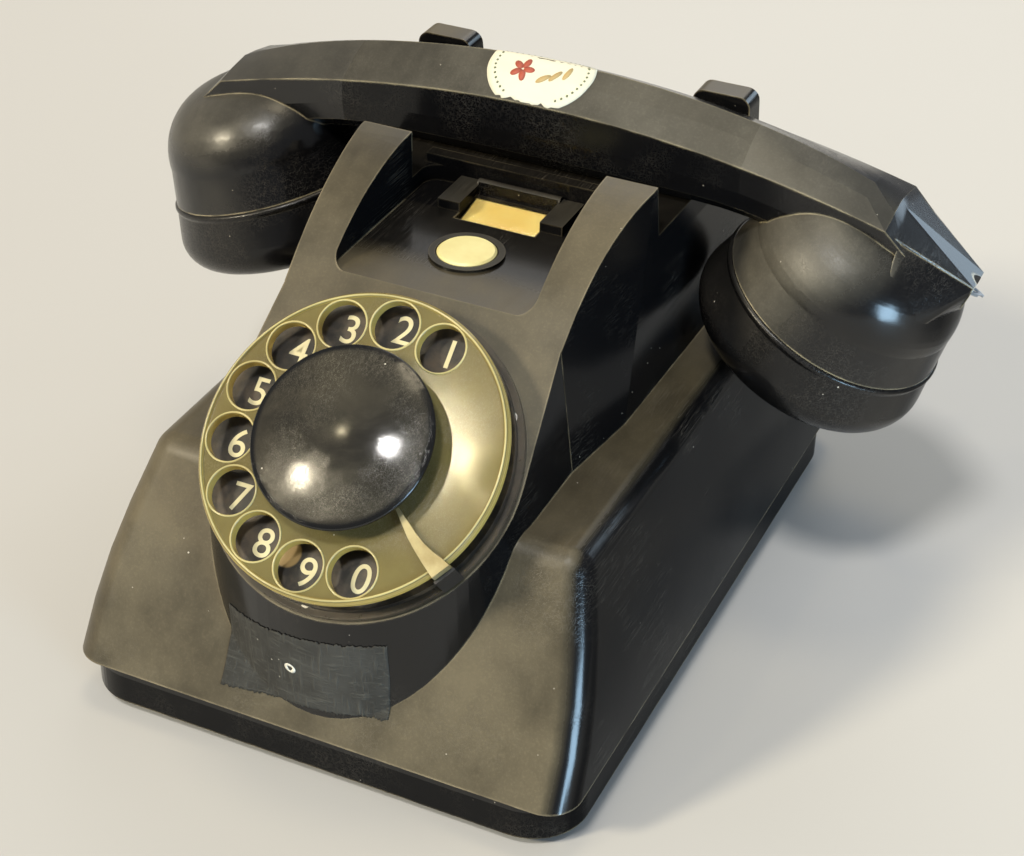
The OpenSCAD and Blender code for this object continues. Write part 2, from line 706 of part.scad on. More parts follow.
// Flat spiral that turns the dial back
module return_spring() color([0.4, 0.42, 0.45]) on_dial() translate([0, 0, bridge_z + bridge_t + 0.3]) {
  turns = 4;
  seg = 24;
  start_r = spindle_r + 0.8;
  pitch = 2;
  band = 0.4;
  linear_extrude(2.4) polygon(concat(
    [for (i = [0 : turns * seg]) let (r = start_r + pitch * i / seg, a = i * 360 / seg)
      [r * cos(a), r * sin(a)]],
    [for (j = [0 : turns * seg]) let (i = turns * seg - j, r = start_r + band + pitch * i / seg,
      a = i * 360 / seg) [r * cos(a), r * sin(a)]]));
  translate([start_r + pitch * turns + 0.3, 0, -0.3]) disc(1, 2.7);
}

// Spur gear with straight-sided teeth, thin enough to run free in mesh
module gear(teeth, m, thick, bore, turn = 0) {
  pitch_r = m * teeth / 2;
  rotate(turn) difference() {
    linear_extrude(thick) polygon([for (k = [0 : teeth - 1]) let (a = 360 * k / teeth,
      root = 0.27 * 360 / teeth, tip = 0.11 * 360 / teeth,
      lo = pitch_r - 1.15 * m, hi = pitch_r + 0.8 * m) each [
      lo * [cos(a - root), sin(a - root)], hi * [cos(a - tip), sin(a - tip)],
      hi * [cos(a + tip), sin(a + tip)], lo * [cos(a + root), sin(a + root)]]]);
    translate([0, 0, -1]) disc(bore, thick + 2);
  }
}

module main_gear() color([0.75, 0.6, 0.3]) on_dial() translate([0, 0, main_gear_z]) {
  difference() {
    gear(main_teeth, main_m, 1.4, spindle_r);
    for (a = [45 : 90 : 315]) rotate(a) translate([10.5, 0, -1]) disc(4, 4);
  }
  translate([0, 0, 1.4]) ring(5, spindle_r, 1.4);
}

module impulse_cam() color([0.5, 0.3, 0.15]) on_dial() translate([0, 0, main_gear_z - 5]) {
  gear(hole_count, 1.4, 2, spindle_r);
  translate([0, 0, 2]) ring(4.4, spindle_r, 2.9);
}

module impulse_contacts() color([0.72, 0.6, 0.35]) on_dial()
  translate([12, 8, case_back + back_t]) {
    cube([6, 8, 13]);
    for (k = [0 : 2]) translate([1 + 2 * k, -9, 9.5]) cube([0.4, 9.5, 3]);
  }

module relay_arbor() color([0.75, 0.7, 0.5]) on_dial() translate([relay_x, 0, 0]) {
  translate([0, 0, case_back + 0.5]) disc(arbor_r, case_depth + bridge_z + bridge_t - 1);
  translate([0, 0, main_gear_z - 0.6]) gear(relay_pinion_teeth, main_m, 2.6, arbor_r - 0.2, 15);
  translate([0, 0, relay_gear_z]) gear(relay_teeth, gov_m, 1.2, arbor_r - 0.2, relay_turn());
  translate([0, 0, relay_gear_z + 1.2]) disc(2.6, main_gear_z - relay_gear_z - 1.8);
}
// The relay gear is turned so that a tooth points at the governor's arbor
function relay_turn() = gov_dir;

module governor() color([0.7, 0.68, 0.6]) on_dial() translate([gov_x, gov_y, 0]) {
  translate([0, 0, case_back + 0.5]) disc(arbor_r, case_depth + bridge_z + bridge_t - 1);
  translate([0, 0, relay_gear_z - 0.6]) gear(gov_teeth, gov_m, 2.4, arbor_r - 0.2, gov_dir + 180 + 15);
  translate([0, 0, case_back + 3]) disc(3, 2);
  for (a = [0, 180]) rotate(a) {
    translate([1, -0.8, case_back + 3.4]) cube([6, 1.6, 1.2]);
    translate([0, 0, case_back + 3]) intersection() {
      ring(drum_r - 1.6, drum_r - 4.6, 3);
      translate([0, -3.5, 0]) cube([12, 7, 3]);
    }
  }
}

module governor_drum() color([0.5, 0.48, 0.42]) on_dial()
  translate([gov_x, gov_y, case_back + back_t]) ring(drum_r, drum_r - 1, 6);

// ---------------------------------------------------------------- cradle switch
module hook_plungers() color([0.8, 0.78, 0.7]) desk() for (side = sides)
  translate([side * plunger_x, handset_y, plunger_foot]) {
    disc(plunger_r, grip_under - rest_gap - plunger_foot);
    disc(plunger_r + 1.6, 1.5);
  }

module hook_bracket() color([0.6, 0.58, 0.5]) desk() difference() {
  union() {
    translate([-22, pivot_y - 10, roof_z - 1.5]) cube([44, 18, 1.5]);
    for (side = sides) translate([side * 17 - 1, pivot_y - 5, bracket_seat]) cube([2, 12, roof_z - bracket_seat]);
    translate([-18, pivot_y + 5.5, bracket_seat]) cube([36, 1.5, roof_z - bracket_seat]);
    translate([-8, handset_y - 7, bracket_seat]) cube([16, pivot_y - handset_y + 14, 1.5]);
    translate([-18, pivot_y - 5, bracket_seat]) cube([36, 12, 1.5]);
  }
  translate([-30, pivot_y, pivot_z]) rotate([0, 90, 0]) disc(pivot_r, 60);
}

module lever_pin() color("silver") desk() translate([-18.5, pivot_y, pivot_z]) rotate([0, 90, 0])
  disc(pivot_r, 37);

module hook_lever() color([0.66, 0.62, 0.5]) desk() difference() {
  union() {
    translate([-15.6, pivot_y, pivot_z]) rotate([0, 90, 0]) disc(3, 31.2);
    for (side = sides) translate([side * 14 - 1.5, handset_y - 2, lever_top - 1.5]) cube([3, lever_arm, 1.5]);
    translate([-plunger_x - 4, handset_y - 4, lever_top - 1.5]) cube([2 * plunger_x + 8, 8, 1.5]);
    translate([-2, handset_y - 12, lever_top - 1.5]) cube([4, 12, 1.5]);
  }
  translate([-30, pivot_y, pivot_z]) rotate([0, 90, 0]) disc(pivot_r + run_gap, 60);
}

module hook_spring() color("silver") desk() translate([0, handset_y, bracket_seat + 1.5 + 0.05])
  coil_spring(4.5, 0.6, lever_top - 1.5 - bracket_seat - 1.5 - 0.1, 5);

module hook_contacts() color([0.72, 0.6, 0.35]) desk()
  translate([0, recess_back + rib_t + wall + 0.2, roof_z]) {
    translate([-6, 0.5, -5]) cube([12, 6, 5]);
    for (k = [0, 1]) translate([-2.5 + 0.01 * k, 1, -5.4 - 1.2 * k]) cube([5, 12, 0.4]);
    translate([-3, 1, -6.6]) cube([6, 4, 1.7]);
  }

// ---------------------------------------------------------------- ringer
module ringer_frame() color([0.5, 0.5, 0.48]) desk() difference() {
  union() {
    translate([-yoke_hw, yoke_y, base_top]) cube([2 * yoke_hw, yoke_l, sheet]);
    translate([-yoke_hw, yoke_y, base_top]) cube([2 * yoke_hw, yoke_wall, yoke_top + 2]);
    translate([-4, yoke_y, base_top + yoke_top]) cube([8, yoke_l - 1, sheet]);
    for (side = sides) translate([side * core_x, yoke_y + 2, clapper_z]) rotate([-90, 0, 0])
      disc(core_r, pin_y - yoke_y - 5);
  }
  translate([0, pin_y, 0]) disc(pin_r, 60);
}

module ringer_coils() color([0.35, 0.1, 0.08]) desk() for (side = sides)
  translate([side * core_x, yoke_y + yoke_wall + 0.2, clapper_z]) rotate([-90, 0, 0]) difference() {
    union() {
      disc(winding_r + 1, 1.5);
      disc(winding_r, winding_l);
      translate([0, 0, winding_l - 1.5]) disc(winding_r + 1, 1.5);
    }
    translate([0, 0, -1]) disc(core_r + run_gap, 40);
  }

module armature_pin() color("silver") desk() translate([0, pin_y, base_top + 0.1])
  disc(pin_r, yoke_top + 2.5);

module clapper() color([0.7, 0.68, 0.6]) desk() difference() {
  union() {
    translate([-17, pin_y - 1.2, clapper_z - 4]) cube([34, 2.4, 8]);
    translate([0, pin_y, clapper_z - 5]) disc(pin_r + 1.4, 10);
    translate([0, pin_y + 2, clapper_z]) rotate([-90, 0, 0]) disc(0.8, arm_l - 4);
    translate([0, gong_y, clapper_z]) sphere(r = 3, $fn = 48);
  }
  translate([0, pin_y, 0]) disc(pin_r + run_gap, 60);
}

module gong_posts() color([0.6, 0.58, 0.5]) desk() for (side = sides)
  translate([side * gong_x, gong_y, base_top]) difference() {
    union() {
      disc(8, 1.5);
      disc(3.5, gong_rim + gong_h - gong_wall - 0.27 - base_top);
    }
    translate([0, 0, 6]) disc(screw_r, 60);
  }

// Each gong is a turned bowl, mouth down
module gongs() color([0.75, 0.72, 0.62]) desk() for (side = sides)
  translate([side * gong_x, gong_y, gong_rim]) rotate_extrude() difference() {
    intersection() {
      translate([0, gong_h - gong_sphere()]) circle(r = gong_sphere(), $fn = 120);
      square([gong_r, gong_h + 1]);
    }
    intersection() {
      translate([0, gong_h - gong_sphere()]) circle(r = gong_sphere() - gong_wall, $fn = 120);
      translate([-1, -1]) square([gong_r - 1.2, gong_h + 2]);
    }
    translate([-1, -1]) square([screw_r + 0.3 + 1, 60]);
  }
function gong_sphere() = (gong_r * gong_r + gong_h * gong_h) / (2 * gong_h);

module gong_screws() color("silver") desk() for (side = sides)
  translate([side * gong_x, gong_y, gong_rim + gong_h]) {
    disc(3.4, 1.6);
    translate([0, 0, -8]) disc(screw_r - 0.05, 8);
  }

// ---------------------------------------------------------------- circuit
module induction_coil() color([0.45, 0.4, 0.3]) desk() translate([-circuit_x, circuit_y, base_top]) {
  translate([-13, -18, 0]) cube([26, 5, 24]);
  translate([-13, 13, 0]) cube([26, 5, 24]);
  translate([-4, -13, 8]) cube([8, 26, 8]);
  difference() {
    translate([0, -12.9, 12]) rotate([-90, 0, 0]) disc(11, 25.8);
    translate([-4, -13, 8]) cube([8, 26, 8]);
  }
}

module capacitor() color([0.6, 0.6, 0.58]) desk() translate([circuit_x, circuit_y, base_top]) {
  linear_extrude(30) offset(r = 3, $fn = 24) square([18, 38], center = true);
  for (side = sides) translate([0, side * 10, 30]) disc(2.2, 4);
}

module terminal_block() color([0.2, 0.14, 0.1]) desk() translate([0, block_y, base_top]) difference() {
  translate([-18, -5, 0]) cube([36, 10, 9]);
  for (k = [-2 : 2]) translate([7 * k, 0, 4]) disc(1.6, 10);
}

// ---------------------------------------------------------------- handset
// Height of the grip's long edges at x, with the slanted ends
function grip_edge(x) = let (a = abs(x)) a <= grip_hl ? edge_z - edge_fall * pow(a / grip_hl, 2)
  : edge_z - edge_fall - (a - grip_hl) * 1.02;
function grip_floor(x) = let (a = abs(x)) a < 48 ? grip_under
  : a < 80 ? grip_under - 5 * pow((a - 48) / 32, 2) : grip_under - 5 - (a - 80) * 0.34;
function grip_width(x) = grip_hw - 4 * pow(max(0, (abs(x) - grip_hl) / 20), 2)
  + 0.8 * pow(min(abs(x), grip_hl) / grip_hl, 2);
function grip_crown(x) = let (s = min(abs(x), grip_hl) / grip_hl, past = max(0, abs(x) - grip_hl))
  (crown_h - 3 * pow(s, 2) - 2.6 * pow(s, 6)) * (1 - 0.6 * past / 22);
// One cross-section of the grip: faceted crown, flat sides, rounded belly
function grip_section(x) = let (w = grip_width(x), top = grip_edge(x), c = grip_crown(x),
  low = min(grip_floor(x), top - 3), h = top - low) [
  [x, -w, top], [x, -0.46 * w, top + 0.64 * c], [x, 0, top + c], [x, 0.46 * w, top + 0.64 * c],
  [x, w, top], [x, w + 0.3, top - 0.45 * h], [x, 0.94 * w, top - 0.78 * h],
  [x, 0.74 * w, top - 0.96 * h], [x, 0.5 * w, low], [x, -0.5 * w, low],
  [x, -0.74 * w, top - 0.96 * h], [x, -0.94 * w, top - 0.78 * h], [x, -w - 0.3, top - 0.45 * h]];

module grip() {
  stations = concat([for (k = [-3 : -1]) 6 * k - grip_hl], [for (k = [-13 : 13]) k * grip_hl / 13],
    [for (k = [1 : 3]) 6 * k + grip_hl]);
  n = 13;
  last = len(stations) - 1;
  points = [for (x = stations) each grip_section(x)];
  faces = concat(
    [for (i = [0 : last - 1], k = [0 : n - 1]) [i * n + k, i * n + (k + 1) % n, (i + 1) * n + k]],
    [for (i = [0 : last - 1], k = [0 : n - 1])
      [(i + 1) * n + k, i * n + (k + 1) % n, (i + 1) * n + (k + 1) % n]],
    [for (k = [1 : n - 2]) [0, k + 1, k]],
    [for (k = [1 : n - 2]) [last * n, last * n + k, last * n + k + 1]]);
  polyhedron(points, faces, convexity = 6);
}

// Snout at the cord's end of the handset, cut off square to the cord
module beak() hull() {
  translate([grip_hl, 0, 0]) rotate([90, 0, 90]) linear_extrude(skin) polygon([
    [-grip_hw, grip_edge(grip_hl) - 0.6], [0, grip_edge(grip_hl) + grip_crown(grip_hl) - 0.8],
    [grip_hw, grip_edge(grip_hl) - 0.6], [grip_hw, beak_low], [-grip_hw, beak_low]]);
  translate([beak_x, 0, beak_z]) rotate([0, beak_tilt, 0]) translate([4, 0, -skin]) intersection() {
    cylinder(r = 6.4, h = skin, $fn = 24);
    cube([8, 20, 2], center = true);
  }
}

module handset_body() color([0.08, 0.08, 0.08]) difference() {
  union() {
    desk() translate([0, handset_y, 0]) {
      grip();
      beak();
    }
    for (side = sides) at_cup(side) {
      rotate_extrude($fn = 96) {
        translate([bulb_r - bulb_round, bulb_h - bulb_round]) intersection() {
          circle(r = bulb_round, $fn = 96);
          square(30);
        }
        square([bulb_r - bulb_round, bulb_h]);
        polygon([[0, 0], [cup_r, 0], [bulb_r, bulb_h - bulb_round], [0, bulb_h - bulb_round]]);
      }
      translate([0, 0, -neck_h]) disc(neck_r, neck_h + 1);
    }
  }
  for (side = sides) at_cup(side) translate([0, 0, -neck_h - 1]) disc(capsule_r + loose_gap, neck_h + 15);
  bush_place() translate([0, 0, -13]) disc(4.6, 20);
}
module bush_place() desk() translate([beak_x - 1.5, handset_y, beak_z - 3.8])
  rotate([0, beak_tilt, 0]) children();

module handset_bush() color([0.1, 0.1, 0.1]) bush_place() translate([0, 0, -12.9]) difference() {
  disc(4.5, 12.9);
  translate([0, 0, -1]) disc(2.6, 20);
}

// Points of an arc around c, from one angle to another
function arc(c, r, from, to, steps) = [for (i = [0 : steps])
  let (a = from + (to - from) * i / steps) c + r * [cos(a), sin(a)]];

// Screw cap with a bead at the seam, a flared wall and a rounded lower edge
module screw_cap(side, rings) at_cup(side) difference() {
  rotate_extrude($fn = 96) polygon(concat([[0, -skin]],
    arc([cup_r - 0.3, -skin - bead_r], bead_r, 90, -40, 6), [[cup_r + 0.4, -skin - 2 * bead_r]],
    arc([cap_out - cap_round, cap_round - cap_depth], cap_round, cap_turn, -90, 10), [[0, -cap_depth]]));
  translate([0, 0, -neck_h - 1.8]) disc(neck_r + loose_gap, 20);
  translate([0, 0, -cap_depth + cap_wall]) disc(capsule_r, 20);
  for (k = rings) for (j = [0 : max(0, 6 * k - 1)])
    rotate(j * 60 / max(k, 1)) translate([5.5 * k, 0, -cap_depth - 1]) disc(1.3, cap_wall + 2);
}
module receiver_cap() color([0.07, 0.07, 0.07]) screw_cap(-1, [0, 1]);
module mouthpiece_cap() color([0.07, 0.07, 0.07]) screw_cap(1, [0, 1, 2]);

module capsule(side, back) at_cup(side) {
  translate([0, 0, -neck_h - 1.6]) disc(neck_r - 0.1, 1.5);
  translate([0, 0, -neck_h - 0.2]) disc(capsule_r, neck_h + back);
}
module receiver_capsule() color([0.55, 0.55, 0.52]) capsule(-1, 6);
module transmitter_capsule() color([0.5, 0.5, 0.46]) capsule(1, 4);

module capsule_contacts() color([0.72, 0.6, 0.35]) for (side = sides) at_cup(side)
  for (x = [-8, 8]) translate([x - 2, -6, capsule_back(side)]) {
    cube([4, 12, 0.5]);
    translate([0, 4, 0]) cube([4, 4, 14 - capsule_back(side)]);
  }
function capsule_back(side) = (side < 0 ? 6 : 4) - 0.18;

housing();
base_plate();
rubber_feet();
base_screws();
cord_bushes();
button_bezel();
earth_button();
button_spring();
button_contacts();
card_frame();
card();
card_window();
dial_case();
dial_bridge();
dial_screws();
number_plate();
finger_stop();
stop_clip();
finger_wheel();
dial_spindle();
hub_screw();
cap_clip();
centre_cap();
return_spring();
main_gear();
impulse_cam();
impulse_contacts();
relay_arbor();
governor();
governor_drum();
hook_plungers();
hook_bracket();
lever_pin();
hook_lever();
hook_spring();
hook_contacts();
ringer_frame();
ringer_coils();
armature_pin();
clapper();
gong_posts();
gongs();
gong_screws();
induction_coil();
capacitor();
terminal_block();
handset_body();
receiver_cap();
mouthpiece_cap();
receiver_capsule();
transmitter_capsule();
capsule_contacts();
handset_bush();
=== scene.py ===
import json
import math
import random

import bmesh
import bpy
from mathutils import Matrix, Vector
from mathutils.bvhtree import BVHTree


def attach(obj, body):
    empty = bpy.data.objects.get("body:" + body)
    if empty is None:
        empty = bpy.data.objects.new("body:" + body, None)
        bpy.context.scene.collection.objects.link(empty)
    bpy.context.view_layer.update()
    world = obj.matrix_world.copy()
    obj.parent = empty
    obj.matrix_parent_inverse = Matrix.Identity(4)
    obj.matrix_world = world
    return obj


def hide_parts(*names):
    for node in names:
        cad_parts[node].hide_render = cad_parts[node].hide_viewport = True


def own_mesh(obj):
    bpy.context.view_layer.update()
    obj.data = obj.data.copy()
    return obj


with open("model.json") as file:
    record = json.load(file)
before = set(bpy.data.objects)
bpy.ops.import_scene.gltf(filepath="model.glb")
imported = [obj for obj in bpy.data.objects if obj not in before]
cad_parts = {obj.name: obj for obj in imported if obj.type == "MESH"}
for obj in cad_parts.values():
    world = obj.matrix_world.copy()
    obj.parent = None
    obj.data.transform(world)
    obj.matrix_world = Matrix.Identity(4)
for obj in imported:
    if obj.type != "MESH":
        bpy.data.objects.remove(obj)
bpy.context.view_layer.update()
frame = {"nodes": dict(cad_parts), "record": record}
nodes = frame["nodes"]
random.seed(7)                                    # the frayed tape, then the torn sticker

# ------------------------------------------------------------------ places
# Places and lengths on the set are given in millimetres, and at(), on_dial() or MM turns them
# into metres. What Blender's own tools, nodes, lamps and camera are given is in metres.
MM = 0.001
DESK = Vector((0.0, -107.267, 3.0)) * MM          # the origin of the housing's own frame


def at(x, y, z):
    """A point of the housing's own frame."""
    return Vector((x, y, z)) * MM + DESK


DIAL = at(0.0, 35.5, 79.5)                        # the dial's middle, on the sloping plate
DIAL_SLOPE = math.radians(39.85)
DIAL_X = Vector((1.0, 0.0, 0.0))
DIAL_UP = Vector((0.0, math.cos(DIAL_SLOPE), math.sin(DIAL_SLOPE)))
DIAL_N = Vector((0.0, -math.sin(DIAL_SLOPE), math.cos(DIAL_SLOPE)))
HOLE_FIRST, HOLE_STEP, HOLE_COUNT = 65.8, 25.17, 10   # in degrees, from the wheel's right side
HOLE_TURNS = [math.radians(HOLE_FIRST + HOLE_STEP * k) for k in range(HOLE_COUNT)]
PLATE_TOP = 4.25                                  # the number plate's face over the dial plate
GRIP_Y = 152.8                                    # the handset's middle plane
BEAK_X, BEAK_Z = 128.16, 105.4                    # its cord entry


def on_dial(x, y, h):
    """A point over the dial plate: to its right, up its slope, and off its face."""
    return DIAL + (DIAL_X * x + DIAL_UP * y + DIAL_N * h) * MM


def turns(count):
    """Equal steps of a full turn, in radians."""
    return [2 * math.pi * k / count for k in range(count)]


def around(radius, angle):
    return radius * math.cos(angle), radius * math.sin(angle)


def between(ends, share):
    return ends[0] + (ends[1] - ends[0]) * share


def linked(name, data):
    """A new object of the scene."""
    o = bpy.data.objects.new(name, data)
    bpy.context.scene.collection.objects.link(o)
    return o


# ------------------------------------------------------------------ camera
CAMERA_PLACE = (0.22402621, -0.47121838, 0.40114515)
CAMERA_RIGHT = Vector((0.90507056, 0.42494223, 0.01647351))
CAMERA_UP = Vector((-0.25031274, 0.50101693, 0.82844769))
CAMERA_BACK = Vector((0.3437889, -0.75392714, 0.55982413))
SENSOR, LENS = 36.0, 75.252                       # millimetres
NEAREST, FARTHEST = 0.01, 50.0

camera_data = bpy.data.cameras.new("camera")
camera_data.sensor_width = SENSOR
camera_data.lens = LENS
camera_data.clip_start, camera_data.clip_end = NEAREST, FARTHEST
camera = linked("camera", camera_data)
camera_turn = Matrix((CAMERA_RIGHT, CAMERA_UP, CAMERA_BACK)).transposed().to_4x4()
camera.matrix_world = Matrix.Translation(CAMERA_PLACE) @ camera_turn
bpy.context.scene.camera = camera

# ------------------------------------------------------------------ node helpers
MIX_FACTOR, MIX_A, MIX_B, MIX_RESULT = 0, 6, 7, 2     # the Mix node's sockets for colours
NUMBER_OPERATIONS = ("DISTANCE", "DOT_PRODUCT", "LENGTH")
STREAK = (1.0, 0.035, 1.0)                        # noise drawn out along y into scratches
STREAK_SHIFT = (0.31, 0.17, 0.07)                 # from each direction's noise to the next
NOISE_MIDDLE = 0.5
EDGE_COSINES = (0.84, 0.965)                      # an edge up to the first, none from the second


class Net:
    """A material's node tree, with short calls to build it."""

    def __init__(self, name, base, rough, **fixed):
        self.mat = bpy.data.materials.new(name)
        self.mat.use_nodes = True
        self.tree = self.mat.node_tree
        self.bsdf = self.tree.nodes["Principled BSDF"]
        self.bsdf.inputs["Base Color"].default_value = (*base, 1.0)
        self.bsdf.inputs["Roughness"].default_value = rough
        for key, value in fixed.items():
            self.bsdf.inputs[key.replace("_", " ")].default_value = value
        self.coord = self.tree.nodes.new("ShaderNodeTexCoord").outputs["Object"]

    def node(self, kind, **values):
        n = self.tree.nodes.new("ShaderNode" + kind)
        for key, value in values.items():
            setattr(n, key, value)
        return n

    def link(self, source, socket):
        """Gives a socket another node's output, or a plain number, vector or colour."""
        if isinstance(source, (int, float)):
            socket.default_value = source
        elif isinstance(source, (tuple, Vector)):
            is_color = len(source) == 3 and socket.type == "RGBA"
            socket.default_value = (*source, 1.0) if is_color else source
        else:
            self.tree.links.new(source, socket)

    def math(self, op, a, b=0.0, clamp=False):
        n = self.node("Math", operation=op, use_clamp=clamp)
        self.link(a, n.inputs[0])
        self.link(b, n.inputs[1])
        return n.outputs[0]

    def times(self, a, b):
        return self.math("MULTIPLY", a, b)

    def plus(self, a, b, clamp=False):
        return self.math("ADD", a, b, clamp)

    def vector(self, op, a, b=None):
        n = self.node("VectorMath", operation=op)
        self.link(a, n.inputs[0])
        if b is not None:
            self.link(b, n.inputs[1])
        return n.outputs["Value" if op in NUMBER_OPERATIONS else "Vector"]

    def ramp(self, value, low, high, to_low=0.0, to_high=1.0):
        """A smooth step from to_low, at low, to to_high, at high."""
        n = self.node("MapRange", interpolation_type="SMOOTHSTEP")
        self.link(value, n.inputs["Value"])
        n.inputs["From Min"].default_value = low
        n.inputs["From Max"].default_value = high
        n.inputs["To Min"].default_value = to_low
        n.inputs["To Max"].default_value = to_high
        return n.outputs["Result"]

    def mix(self, fac, a, b):
        n = self.node("Mix", data_type="RGBA")
        self.link(fac, n.inputs[MIX_FACTOR])
        self.link(a, n.inputs[MIX_A])
        self.link(b, n.inputs[MIX_B])
        return n.outputs[MIX_RESULT]

    def stretched(self, scale, turn=(0, 0, 0), shift=(0, 0, 0)):
        """The object's coordinates, scaled, turned by degrees and shifted."""
        m = self.node("Mapping")
        self.link(self.coord, m.inputs["Vector"])
        m.inputs["Scale"].default_value = scale
        m.inputs["Rotation"].default_value = [math.radians(a) for a in turn]
        m.inputs["Location"].default_value = shift
        return m.outputs["Vector"]

    def noise(self, scale, detail=4.0, rough=0.55, vector=None, distortion=0.0):
        n = self.node("TexNoise")
        self.link(vector or self.coord, n.inputs["Vector"])
        n.inputs["Scale"].default_value = scale
        n.inputs["Detail"].default_value = detail
        n.inputs["Roughness"].default_value = rough
        n.inputs["Distortion"].default_value = distortion
        return n.outputs["Fac"]

    def cells(self, scale, out):
        n = self.node("TexVoronoi")
        self.link(self.coord, n.inputs["Vector"])
        n.inputs["Scale"].default_value = scale
        return n.outputs[out]

    def part(self, vector, axis):
        s = self.node("SeparateXYZ")
        self.link(vector, s.inputs[0])
        return s.outputs[axis]

    def place_axis(self, axis):
        return self.part(self.coord, axis)

    def normal(self):
        return self.node("NewGeometry").outputs["Normal"]

    def sideways(self):
        """How far the surface faces left or right, from nought to one."""
        return self.math("ABSOLUTE", self.part(self.normal(), 0))

    def facing(self, direction):
        """How far the surface faces a direction, from minus one to one."""
        return self.vector("DOT_PRODUCT", self.normal(), Vector(direction).normalized())

    def from_point(self, place):
        """Distance from a place."""
        return self.vector("DISTANCE", self.coord, place)

    def from_axis(self, place, axis):
        """Distance from a line through a place."""
        away = self.vector("SUBTRACT", self.coord, place)
        return self.vector("LENGTH", self.vector("CROSS_PRODUCT", away, axis))

    def inside(self, low, high, soft=0.0):
        """One inside a box, nought outside it. Its front edge fades in over the depth soft."""
        total = None
        for axis in range(3):
            place = self.place_axis(axis)
            if axis == 1 and soft:
                above = self.ramp(place, low[axis], low[axis] + soft)
            else:
                above = self.math("GREATER_THAN", place, low[axis])
            both = self.times(above, self.math("LESS_THAN", place, high[axis]))
            total = both if total is None else self.times(total, both)
        return total

    def spared(self, box, share):
        """One outside a box, and less by a share inside it."""
        return self.math("SUBTRACT", 1.0, self.times(self.inside(*box), share))

    def edges(self, radius):
        """One along sharp edges and in corners, nought on open surfaces."""
        b = self.node("Bevel", samples=4)
        b.inputs["Radius"].default_value = radius
        same = self.vector("DOT_PRODUCT", b.outputs["Normal"], self.normal())
        return self.ramp(same, *EDGE_COSINES, to_low=1.0, to_high=0.0)

    def specks(self, scale, size, share):
        """Small round dots, in the given share of the cells."""
        distance = self.cells(scale, "Distance")
        sep = self.node("SeparateColor")
        self.link(self.cells(scale, "Color"), sep.inputs[0])
        near = self.math("LESS_THAN", distance, size)
        return self.times(near, self.math("LESS_THAN", sep.outputs[0], share))

    def scratches(self, scale, width, directions):
        """Fine straight scratches in several directions, in patches."""
        total = None
        for k, turn in enumerate(directions):
            along = self.stretched(STREAK, turn, tuple(step * k for step in STREAK_SHIFT))
            n = self.noise(scale, detail=2.0, rough=0.6, vector=along)
            off = self.math("ABSOLUTE", self.math("SUBTRACT", n, NOISE_MIDDLE))
            line = self.ramp(off, 0.0, width, to_low=1.0, to_high=0.0)
            total = line if total is None else self.math("MAXIMUM", total, line)
        patches = self.ramp(self.noise(38.0, detail=3.0), 0.42, 0.68)
        return self.times(total, patches)

    def bump(self, height, strength, distance, normal=None):
        n = self.node("Bump")
        n.inputs["Strength"].default_value = strength
        n.inputs["Distance"].default_value = distance
        self.link(height, n.inputs["Height"])
        if normal is not None:
            self.link(normal, n.inputs["Normal"])
        return n.outputs["Normal"]

    def out(self, color, rough=None, normal=None):
        self.link(color, self.bsdf.inputs["Base Color"])
        if rough is not None:
            self.link(rough, self.bsdf.inputs["Roughness"])
        if normal is not None:
            self.link(normal, self.bsdf.inputs["Normal"])
        return self.mat


# ------------------------------------------------------------------ materials
# What faces this way is paler and duller: dust and hands have dulled it, and as this way leans to
# the key and top lamps, the paler look is also painted light.
DUST_AND_LIGHT_SIDE = (-0.35, -0.45, 0.82)                 # dust and hands, and painted light toward the lamps
DUST_AND_SHEEN_GROWS = (-0.07, 0.05)                        # x at which it grows to whole: partly a painted sheen on the right

# Boxes in which a look changes. The recess also says over what depth its front edge fades in.
# In RECESS and DECK the dust coat and the edge colour are thinned: less dust there, and painted
# shade under the handset.
RECESS = (at(-29.8, 79.0, 98.0), at(29.8, 131.4, 119.0), 0.014)
DECK = (at(-60.0, 116.0, 108.0), at(60.0, 200.0, 123.0))
GRIP = (at(-62.0, 100.0, 100.0), at(62.0, 200.0, 150.0))
SKIRT = (at(-90.0, -20.0, -4.0), at(90.0, 240.0, 9.0))

# Directions of scratches, as turns in degrees
WIPING_TURNS = [(20, 10, 15), (70, 30, 60), (10, 60, 110), (40, 80, 150)]
DIALLING_TURNS = [(10, 0, 20), (0, 30, 75), (60, 10, 120), (30, 70, 165)]

BLACK = (0.0045, 0.0045, 0.005)
SCRATCHED = (0.24, 0.21, 0.17)
PALE_GRIT, DULL_GRIT = (0.60, 0.56, 0.48), (0.42, 0.38, 0.32)
CAP_CLEAN, CAP_HAZE = (0.006, 0.006, 0.006), (0.070, 0.062, 0.044)
CAP_SCRATCH, CAP_GRIT = (0.34, 0.31, 0.24), (0.60, 0.57, 0.48)
CAP_DOME = (0.0222, 0.0240)                       # hazy up to the first radius, not from the next
OLIVE, DARK_OLIVE, GOLDEN_EDGE_GLOW = (0.35, 0.295, 0.115), (0.235, 0.19, 0.070), (0.92, 0.70, 0.20)
WHEEL_SCRATCH, WHEEL_GRIT = (0.80, 0.74, 0.50), (0.85, 0.80, 0.60)
PLATE_CLEAN, PLATE_BROWNED = (0.012, 0.011, 0.010), (0.135, 0.095, 0.055)
PLATE_WORN = (0.40, 0.27, 0.10)
WORN_PLACE = on_dial(-8.7, -30.4, PLATE_TOP)
WORN_RADIUS = (0.0034, 0.0041)                    # bare up to the first, whole from the second


